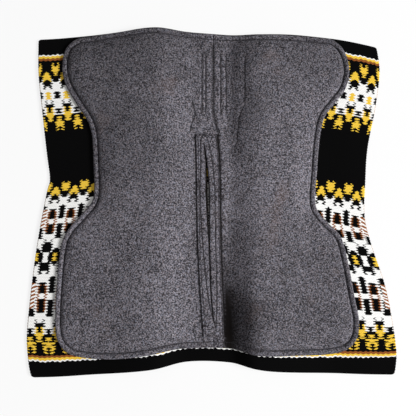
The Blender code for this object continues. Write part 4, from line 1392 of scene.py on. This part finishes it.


# %% [markdown]
# Where shade falls on the felt, its finish paints it dark by an attribute: in the sewn groove, in the
# creases at the strip's edges and between the vent's lips. Right of the strip a painted dark wedge widens
# towards the rear, and a second, narrower one lies close to the strip.

# %% Painted shade in the felt
GROOVE_DARK, LEFT_CREASE_DARK = (0.70, 0.0012), (0.55, 0.0024)
RIGHT_CREASE_WIDTHS = ((-0.35, 0.0060), (-0.15, 0.0042), (0.05, 0.0036), (0.10, 0.0054), (0.17, 0.0062))
LIP_MARGIN = 0.001
WEDGE_DARK, WEDGE_START_Y, WEDGE_LENGTH = 0.50, -0.09, 0.22
WEDGE_REACH, WEDGE_EASE = 0.055, 0.075
WEDGE_GROWTH, GROWTH_START_Y, GROWTH_LENGTH = 0.115, -0.20, 0.09
CLOSE_DARK, CLOSE_START_Y, CLOSE_LENGTH = 0.55, -0.06, 0.16
CLOSE_REACH, CLOSE_EASE = 0.045, 0.035
WEDGE_INNER_X, WEDGE_INNER_EASE = 0.028, 0.010


def painted_seam_and_crease_shade(x, y, near):
    """How much shade is painted on the felt in a seam, a crease or the vent."""
    left, right = strip_edges(y)
    left_crease = groove(x - left, *LEFT_CREASE_DARK)
    right_crease = groove(x - right, 1.0, np.interp(y, *zip(*RIGHT_CREASE_WIDTHS)))
    in_strip = (y < STRIP_FRONT_Y) & (y > STRIP_REAR_Y)
    dark = np.maximum(groove(near - GROOVE_PLACE, *GROOVE_DARK), np.where(in_strip, left_crease, 0))
    dark = np.maximum(dark, np.where(in_strip, right_crease, 0))
    return np.where(in_vent(y) & (np.abs(x - vent_middle(y)) < vent_half(y) + LIP_MARGIN), 1, dark)


def painted_wedge_shade(x, y):
    """Painted shade: the dark wedges right of the strip."""
    reach = WEDGE_REACH + WEDGE_GROWTH * smoothstep((GROWTH_START_Y - y) / GROWTH_LENGTH)
    wide = WEDGE_DARK * smoothstep((WEDGE_START_Y - y) / WEDGE_LENGTH) * smoothstep((reach - x) / WEDGE_EASE)
    from_strip = strip_edges(y)[1] + CLOSE_REACH - x
    close = CLOSE_DARK * smoothstep((CLOSE_START_Y - y) / CLOSE_LENGTH) * smoothstep(from_strip / CLOSE_EASE)
    return (wide + close) * smoothstep((x - WEDGE_INNER_X) / WEDGE_INNER_EASE)


# %% [markdown]
# The felt's lower face is lifted where the core lies in its pocket. The core fills that space, and stops a
# little short of the felt, so that the two don't touch.

# %% Felt and core
SEAM_HALF_GAP = 0.00002
DRAWN_BACK = {-1: 0.05, 1: 0.75}
DIP_FADE = 0.02
POCKET_EDGE, POCKET_FOLD, POCKET_EASE = 0.022, 0.014, 0.006
CORE_LINES = (0.027, 0.0275, 0.029, 0.032)
CORE_INNER, CORE_STOP = FOLD_HALF + 0.019, FOLD_HALF + 0.018
CORE_GAP, CORE_THINNEST, CORE_LIFT = 0.0006, 0.0004, 0.0001


def felt_top(x, y, near, height):
    """Height of the felt's face over the blanket, with its seams drawn in."""
    return FELT_BASE + height - sewn_dips(x, y) * smoothstep(near / DIP_FADE)


def felt_panel(side):
    """One panel of felt, whose lower face is raised where the core lies in its pocket."""
    def inner_x(y):
        return parting(y) + side * SEAM_HALF_GAP + vent_half(y) * DRAWN_BACK[side]

    grid = rib_grid(side, BORDER_PLACES, RIB_SLANT, inner_x, BODY_COUNT, SPINE_COUNT)
    lines = len(grid) - 1
    edge = edge_points(side, EDGE_POINTS)
    inward = distances_inward(grid, edge)
    inward[:len(BORDER_PLACES)] = np.array(BORDER_PLACES)[:, None]

    def shape(x_share, y_share, upper):
        i, j = grid_numbers(x_share, y_share, lines, RIB_COUNT)
        x, y = grid[i, j].T
        near = inward[i, j]
        height = felt_height(x, y, near)
        in_pocket = smoothstep((near - POCKET_EDGE) / POCKET_EASE)
        in_pocket = in_pocket * smoothstep((np.abs(x) - FOLD_HALF - POCKET_FOLD) / POCKET_EASE)
        under = FELT_BASE + np.maximum(height - FELT_THICKNESS, 0) * in_pocket
        return np.stack([x, y, ground(x, y) + np.where(upper, felt_top(x, y, near, height), under)], -1)

    # Painted shade in the sewn groove, the strip's creases, the vent and the wedges.
    def drawn_in(points):
        x, y = points[:, 0], points[:, 1]
        dark = painted_seam_and_crease_shade(x, y, distance_to_edge(x, y, edge))
        return np.clip(np.maximum(dark, painted_wedge_shade(x, y)), 0, 1)

    name = "felt_left" if side < 0 else "felt_right"
    return finished(name, grid_cloth(lines, RIB_COUNT, shape), LINING_FELT, drawn_in=drawn_in)


def felt_core(side):
    """One pressed core, which fills the pocket under its panel."""
    def inner_x(y):
        return np.full(np.shape(y), side * CORE_INNER)

    grid = rib_grid(side, CORE_LINES, CORE_SLANT, inner_x, CORE_BODY_COUNT, CORE_SPINE_COUNT)
    grid[..., 0] = side * np.maximum(grid[..., 0] * side, CORE_STOP)
    lines = len(grid) - 1
    inward = distances_inward(grid, edge_points(side, CORE_EDGE_POINTS))

    def shape(x_share, y_share, upper):
        i, j = grid_numbers(x_share, y_share, lines, RIB_COUNT)
        x, y = grid[i, j].T
        thick = np.maximum(felt_height(x, y, inward[i, j]) - FELT_THICKNESS - CORE_GAP, CORE_THINNEST)
        return np.stack([x, y, ground(x, y) + FELT_BASE + np.where(upper, thick, CORE_LIFT)], -1)

    name = "core_left" if side < 0 else "core_right"
    mesh = grid_cloth(lines, RIB_COUNT, shape)
    bmesh.ops.remove_doubles(mesh, verts=mesh.verts[:], dist=WELD)
    return finished(name, mesh, PRESSED_FELT)


felts = {name: felt_panel(side) for name, side in SIDES.items()}
cores = {name: felt_core(side) for name, side in SIDES.items()}

# %% [markdown]
# ## The spine strip
# The strip is a long piece of the same felt, sewn down all round. Its vent is a slit that gapes most near
# the front, so that air can pass over the spine. The grid's middle line is cut open along the slit and the
# two lips are drawn apart.

# %% Strip
STRIP_COLUMNS, STRIP_ROWS = 64, 220
STRIP_SEAM_INSET = 0.005
STRIP_EDGE_ROUND, STRIP_EDGE_SHARE = 0.0022, 0.25
STITCHED_DIP, ALMOND_DIP, LIP_DIP = (0.0009, 0.0015), (0.0013, 0.0018), (0.0014, 0.0020)
# Painted shade on the strip: each pair is how dark and how wide, at its edge, its shaded right side, its
# seams, the almond seam and the vent's lips.
EDGE_DARK, SHADE_DARK, SEAM_DARK = (0.50, 0.0014), (1.0, 0.0032), (0.30, 0.0012)
ALMOND_DARK, LIP_DARK = (0.80, 0.0014), (1.0, 0.0016)
STRIP_UNEVEN = 0.00025
STRIP_SEAM_POINTS = 60
ON_MIDDLE, LIP_STEP, LIP_LIMIT = 0.001, 0.0005, 0.0004


def strip_places(x, y):
    """Distances on the strip: from its edge, from the almond seam and from the vent's lip."""
    low, high = strip_edges(y)
    inward = np.minimum(np.minimum(x - low, high - x), np.minimum(STRIP_FRONT_Y - y, y - STRIP_REAR_Y))
    lip = np.where(in_vent(y), np.maximum(np.abs(x - vent_middle(y)) - vent_half(y), 0), 1)
    return inward, distance_to_line(x, y, ALMOND_LOOP), lip


def strip_top(x, y):
    """Height of the strip's face, with the sewn lines drawn in."""
    inward, almond, lip = strip_places(x, y)
    roll = np.clip(1 - inward / STRIP_EDGE_ROUND, 0, 1)
    rounded = STRIP_EDGE_SHARE + (1 - STRIP_EDGE_SHARE) * np.sqrt(np.maximum(1 - roll**2, 0))
    dip = np.maximum(groove(inward - STRIP_SEAM_INSET, *STITCHED_DIP), groove(almond, *ALMOND_DIP))
    dip = np.maximum(dip, groove(lip, *LIP_DIP))
    uneven = STRIP_UNEVEN * waves(x, y, seed=21, shortest=0.012, longest=0.06)
    return STRIP_BASE + STRIP_THICKNESS * rounded - dip + uneven


def strip_painted_shade(points):
    """How much shade is painted on the strip: at its edge, in its seams, at the lips and along the shaded
    right side.
    """
    x, y = points[:, 0], points[:, 1]
    inward, almond, lip = strip_places(x, y)
    dark = np.maximum(groove(inward, *EDGE_DARK), groove(strip_edges(y)[1] - x, *SHADE_DARK))
    dark = np.maximum(dark, groove(inward - STRIP_SEAM_INSET, *SEAM_DARK))
    return np.maximum(dark, np.maximum(groove(almond, *ALMOND_DARK), groove(lip, *LIP_DARK)))


def strip_y(share):
    """y of a place on the strip's grid, which runs from -1 at the rear to 1 at the front."""
    return STRIP_REAR_Y + (share + 1) / 2 * (STRIP_FRONT_Y - STRIP_REAR_Y)


def cut_slit(mesh):
    """Cuts the grid's middle line open along the vent and sets the two lips a little apart."""
    slit = []
    for edge in mesh.edges:
        ys = [strip_y(vert.co.y) for vert in edge.verts]
        on_middle = max(abs(vert.co.x) for vert in edge.verts) < ON_MIDDLE
        if on_middle and VENT_REAR_Y < min(ys) and max(ys) < VENT_FRONT_Y:
            slit.append(edge)
    bmesh.ops.split_edges(mesh, edges=slit)
    for vert in mesh.verts:
        if abs(vert.co.x) < ON_MIDDLE and vert.is_boundary and len(vert.link_faces) == 2:
            centre = sum(face.calc_center_median().x for face in vert.link_faces)
            vert.co.x = math.copysign(LIP_STEP, centre)


def spine_strip():
    """The strip, which lies on the two panels with its vent over their parting."""
    mesh = bmesh.new()
    bmesh.ops.create_grid(mesh, x_segments=STRIP_COLUMNS, y_segments=STRIP_ROWS, size=1.0)
    cut_slit(mesh)
    made = bmesh.ops.extrude_face_region(mesh, geom=mesh.faces[:], use_keep_orig=True)
    upper = {item for item in made["geom"] if isinstance(item, bmesh.types.BMVert)}
    flags = np.array([vert in upper for vert in mesh.verts])
    places = np.array([vert.co[:2] for vert in mesh.verts])
    y = strip_y(places[:, 1])
    low, high = strip_edges(y)
    share, hand = np.abs(places[:, 0]), np.sign(places[:, 0])
    half = vent_half(y) * (share > LIP_LIMIT)
    x = (vent_middle(y) + hand * half) * (1 - share) + np.where(hand < 0, low, high) * share
    z = np.where(flags, strip_top(x, y), STRIP_BASE)
    for vert, point in zip(mesh.verts, np.stack([x, y, z], -1)):
        vert.co = point
    return finished("spine_felt_strip", mesh, LINING_FELT, body="spine", drawn_in=strip_painted_shade)


strip = spine_strip()

# %% [markdown]
# ## Stitches
# A lockstitch shows as a row of short thread lengths that dive into the cloth at each hole. One stitch is a
# small stretched ball, drawn thin at its ends, and a row repeats it along a seam, on the cloth's surface.

# %% Stitch helper
STITCH_PITCH, CHANNEL_PITCH, OUTER_PITCH = 0.0062, 0.0055, 0.0060
STITCH_SHARE = 0.80
STITCH_RADIUS = 0.00062
STITCH_FLATNESS, STITCH_LIFT = 0.8, 0.45
FACETS = 6
stitch = bmesh.new()
along_x = Matrix.Rotation(math.pi / 2, 4, "Y")
bmesh.ops.create_uvsphere(stitch, u_segments=FACETS, v_segments=FACETS, radius=1.0, matrix=along_x)
ONE_STITCH = bpy.data.meshes.new("one_stitch")
stitch.to_mesh(ONE_STITCH)
stitch.free()


def stitch_row(mesh, line, surface, pitch=STITCH_PITCH, radius=STITCH_RADIUS):
    """Adds stitches along a flat line, laid on a surface that gives the height at a place."""
    line = np.asarray(line)
    total = lengths_along(line)[-1]
    count = max(int(round(total / pitch)), 1)
    shares = (np.arange(count)[:, None] + 0.5 + np.array([-0.5, 0.5]) * STITCH_SHARE) / count
    ends = spread_along(line, shares.ravel())
    heights = surface(ends[:, 0], ends[:, 1])
    ends = np.column_stack([ends, heights]).reshape(count, 2, 3)
    for start, end in ends:
        start, end = Vector(start), Vector(end)
        run = end - start
        turn = run.to_track_quat("X", "Z").to_matrix().to_4x4()
        size = Matrix.Diagonal((run.length / 2, radius, radius * STITCH_FLATNESS, 1))
        middle = (start + end) / 2 + Vector((0, 0, radius * STITCH_LIFT))
        place = Matrix.Translation(middle) @ turn @ size
        ONE_STITCH.transform(place)
        mesh.from_mesh(ONE_STITCH)
        ONE_STITCH.transform(place.inverted())
    return count


def inset_edge(side, distance):
    """A line that follows a panel's edge at a distance inward."""
    edge, inward, _ = panel_ribs(side, RIB_SLANT, parting)
    return edge + inward * distance


def felt_surface(side):
    """A function that gives the height of the felt's face at a place."""
    edge = edge_points(side, EDGE_POINTS)

    def surface(x, y):
        near = distance_to_edge(x, y, edge)
        return ground(x, y) + felt_top(x, y, near, felt_height(x, y, near))

    return surface


# %% Stitches on the panels
panel_stitches = {}
for side_name, side in SIDES.items():
    mesh = bmesh.new()
    surface = felt_surface(side)
    made = stitch_row(mesh, inset_edge(side, GROOVE_PLACE), surface)
    for channel in WITHER_CHANNELS:
        if (channel - SEAM_X) * side > 0:
            row = ((channel, WITHER_FRONT_Y), (channel, WITHER_REAR_Y))
            made += stitch_row(mesh, row, surface, CHANNEL_PITCH)
    made += stitch_row(mesh, OUTER_WITHER_LINES[side_name], surface, OUTER_PITCH)
    panel_stitches[side_name] = finished("panel_stitches_" + side_name, mesh, THREAD)
    print(side_name, "panel:", made, "stitches")

# %% Stitches and tacks on the strip
mesh = bmesh.new()
front_y, rear_y = STRIP_FRONT_Y - STRIP_SEAM_INSET, STRIP_REAR_Y + STRIP_SEAM_INSET
ys = np.linspace(front_y, rear_y, STRIP_SEAM_POINTS)
low, high = strip_edges(ys)
for xs in (low + STRIP_SEAM_INSET, high - STRIP_SEAM_INSET):
    stitch_row(mesh, np.stack([xs, ys], -1), strip_top)
for y in (front_y, rear_y):
    left, right = strip_edges(y)
    stitch_row(mesh, ((left + STRIP_SEAM_INSET, y), (right - STRIP_SEAM_INSET, y)), strip_top)
strip_stitches = finished("strip_stitches", mesh, THREAD, body="spine")

mesh = bmesh.new()
stitch_row(mesh, ALMOND_LOOP, strip_top)
vent_stitches = finished("vent_stitches", mesh, THREAD, body="spine")

# %% [markdown]
# Nine bar tacks hold the vent's lips together. Each is two rows of stitches laid straight across the slit, at
# the height of the higher lip.

# %% Bar tacks over the vent
TACK_FIRST_Y, TACK_PITCH, TACK_COUNT = 0.091, 0.0462, 9
TACK_TURNS, TACK_RADIUS = 7, 0.0006
TACK_INSET, TACK_APART, TACK_LIFT = 0.002, 0.0004, 0.0001
tacks = []
for index in range(TACK_COUNT):
    mesh = bmesh.new()
    y = TACK_FIRST_Y - index * TACK_PITCH
    left, right = (float(x) for x in almond_sides(y))
    left, right = left + TACK_INSET, right - TACK_INSET
    level = strip_top(np.array([left, right]), np.array([y, y])).max() + TACK_LIFT
    for offset in (-TACK_APART, TACK_APART):
        row = ((left, y + offset), (right, y + offset))
        stitch_row(mesh, row, lambda x, _: np.full(len(x), level), (right - left) / TACK_TURNS, TACK_RADIUS)
    tacks.append(finished(f"vent_bar_tack_{index + 1}", mesh, THREAD, body="spine"))

# %% [markdown]
# ## How the pieces move
# Each side swings up about its fold beside the spine. The cores ride with their sides, and the solids that
# the cloth pieces replace are hidden.

# %% Ride and replace
for side_name, side in SIDES.items():
    body = side_name + "_side"
    bent = (blankets[side_name], felts[side_name], panel_stitches[side_name])
    for piece in bent:
        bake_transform(piece)
    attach(cores[side_name], body)
    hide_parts("blanket_" + side_name, "blanket_spine_band")
    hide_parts("felt_panel_" + side_name, "felt_margin_" + side_name)
    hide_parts("felt_core_" + side_name)
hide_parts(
    "border_stitching_left", "border_stitching_front", "wither_stitching_1", "wither_stitching_2",
)
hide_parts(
    "border_stitching_right", "border_stitching_rear", "wither_stitching_3", "wither_stitching_4",
)
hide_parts("spine_strip")
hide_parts("strip_stitching")
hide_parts("vent_stitching")
for index, tack in enumerate(tacks):
    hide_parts(f"vent_tack_{index + 1}")

# %% [markdown]
# ## Floor and light
# A pale plain floor and soft light, so that the pad looks right under other light too. The main lamp is
# large and stands low on the right, which gives the felt its shape, and the sky fills the rest.

# %% Floor
FLOOR_HALF, FLOOR_DROP, FLOOR_GLOW = 6.0, 0.0004, 0.8
FLOOR_GREY = (0.86, 0.86, 0.86, 1)
floor_mesh = bmesh.new()
bmesh.ops.create_grid(floor_mesh, x_segments=1, y_segments=1, size=FLOOR_HALF)
floor_finish = Finish("pale_floor", Roughness=0.9)
floor_finish.set("Base Color", FLOOR_GREY)
seen = floor_finish.nodes.new("ShaderNodeLightPath").outputs
direct = Strand(floor_finish, seen["Is Camera Ray"]) + Strand(floor_finish, seen["Is Glossy Ray"])
direct = direct + Strand(floor_finish, seen["Is Transmission Ray"])
glow = floor_finish.node("Emission", sockets={"Color": (1, 1, 1, 1), "Strength": 1.0})
matt = Strand(floor_finish, floor_finish.shader.outputs[0])
mixed = floor_finish.node("MixShader", sockets={0: direct.held() * FLOOR_GLOW, 1: matt, 2: glow})
floor_finish.feed(floor_finish.nodes["Material Output"].inputs["Surface"], mixed)
floor_data = bpy.data.meshes.new("floor")
floor_mesh.to_mesh(floor_data)
floor_mesh.free()
floor = bpy.data.objects.new("floor", floor_data)
floor.location.z = -FLOOR_DROP
bpy.context.scene.collection.objects.link(floor)
floor_data.materials.append(floor_finish.material)

# %% Light
SKY_SHARE, LAMP_SHARE = 0.32, 0.72
LAMP_TURN, LAMP_HEIGHT, LAMP_DISTANCE = math.radians(-12), math.radians(33), 7.0
LAMP_LENGTH, LAMP_WIDTH = 2.8, 1.8
world = bpy.data.worlds.new("studio")
world.use_nodes = True
nodes, links = world.node_tree.nodes, world.node_tree.links
sky = nodes["Background"]
sky.inputs["Color"].default_value = (1, 1, 1, 1)
sky.inputs["Strength"].default_value = SKY_SHARE
path = nodes.new("ShaderNodeLightPath")
white = nodes.new("ShaderNodeBackground")
white.inputs["Strength"].default_value = 1.0
choice = nodes.new("ShaderNodeMixShader")
seen_directly = path.outputs["Is Camera Ray"]
for ray in ("Is Glossy Ray", "Is Transmission Ray"):
    either = nodes.new("ShaderNodeMath")
    either.operation = "MAXIMUM"
    links.new(seen_directly, either.inputs[0])
    links.new(path.outputs[ray], either.inputs[1])
    seen_directly = either.outputs[0]
links.new(seen_directly, choice.inputs[0])
links.new(sky.outputs[0], choice.inputs[1])
links.new(white.outputs[0], choice.inputs[2])
links.new(choice.outputs[0], nodes["World Output"].inputs[0])
bpy.context.scene.world = world

lamp = bpy.data.objects.new("soft_lamp", bpy.data.lights.new("soft_lamp", "AREA"))
lamp.data.shape = "RECTANGLE"
lamp.data.size, lamp.data.size_y = LAMP_LENGTH, LAMP_WIDTH
lamp.data.energy = LAMP_SHARE * math.pi**2 * LAMP_DISTANCE**2 / math.sin(LAMP_HEIGHT)
sideways = math.cos(LAMP_HEIGHT)
towards_lamp = Vector((sideways * math.cos(LAMP_TURN), sideways * math.sin(LAMP_TURN), math.sin(LAMP_HEIGHT)))
lamp.location = LAMP_DISTANCE * towards_lamp
lamp.rotation_euler = (-lamp.location).to_track_quat("-Z", "Y").to_euler()
bpy.context.scene.collection.objects.link(lamp)

scene = bpy.context.scene
scene.view_settings.view_transform = "Standard"
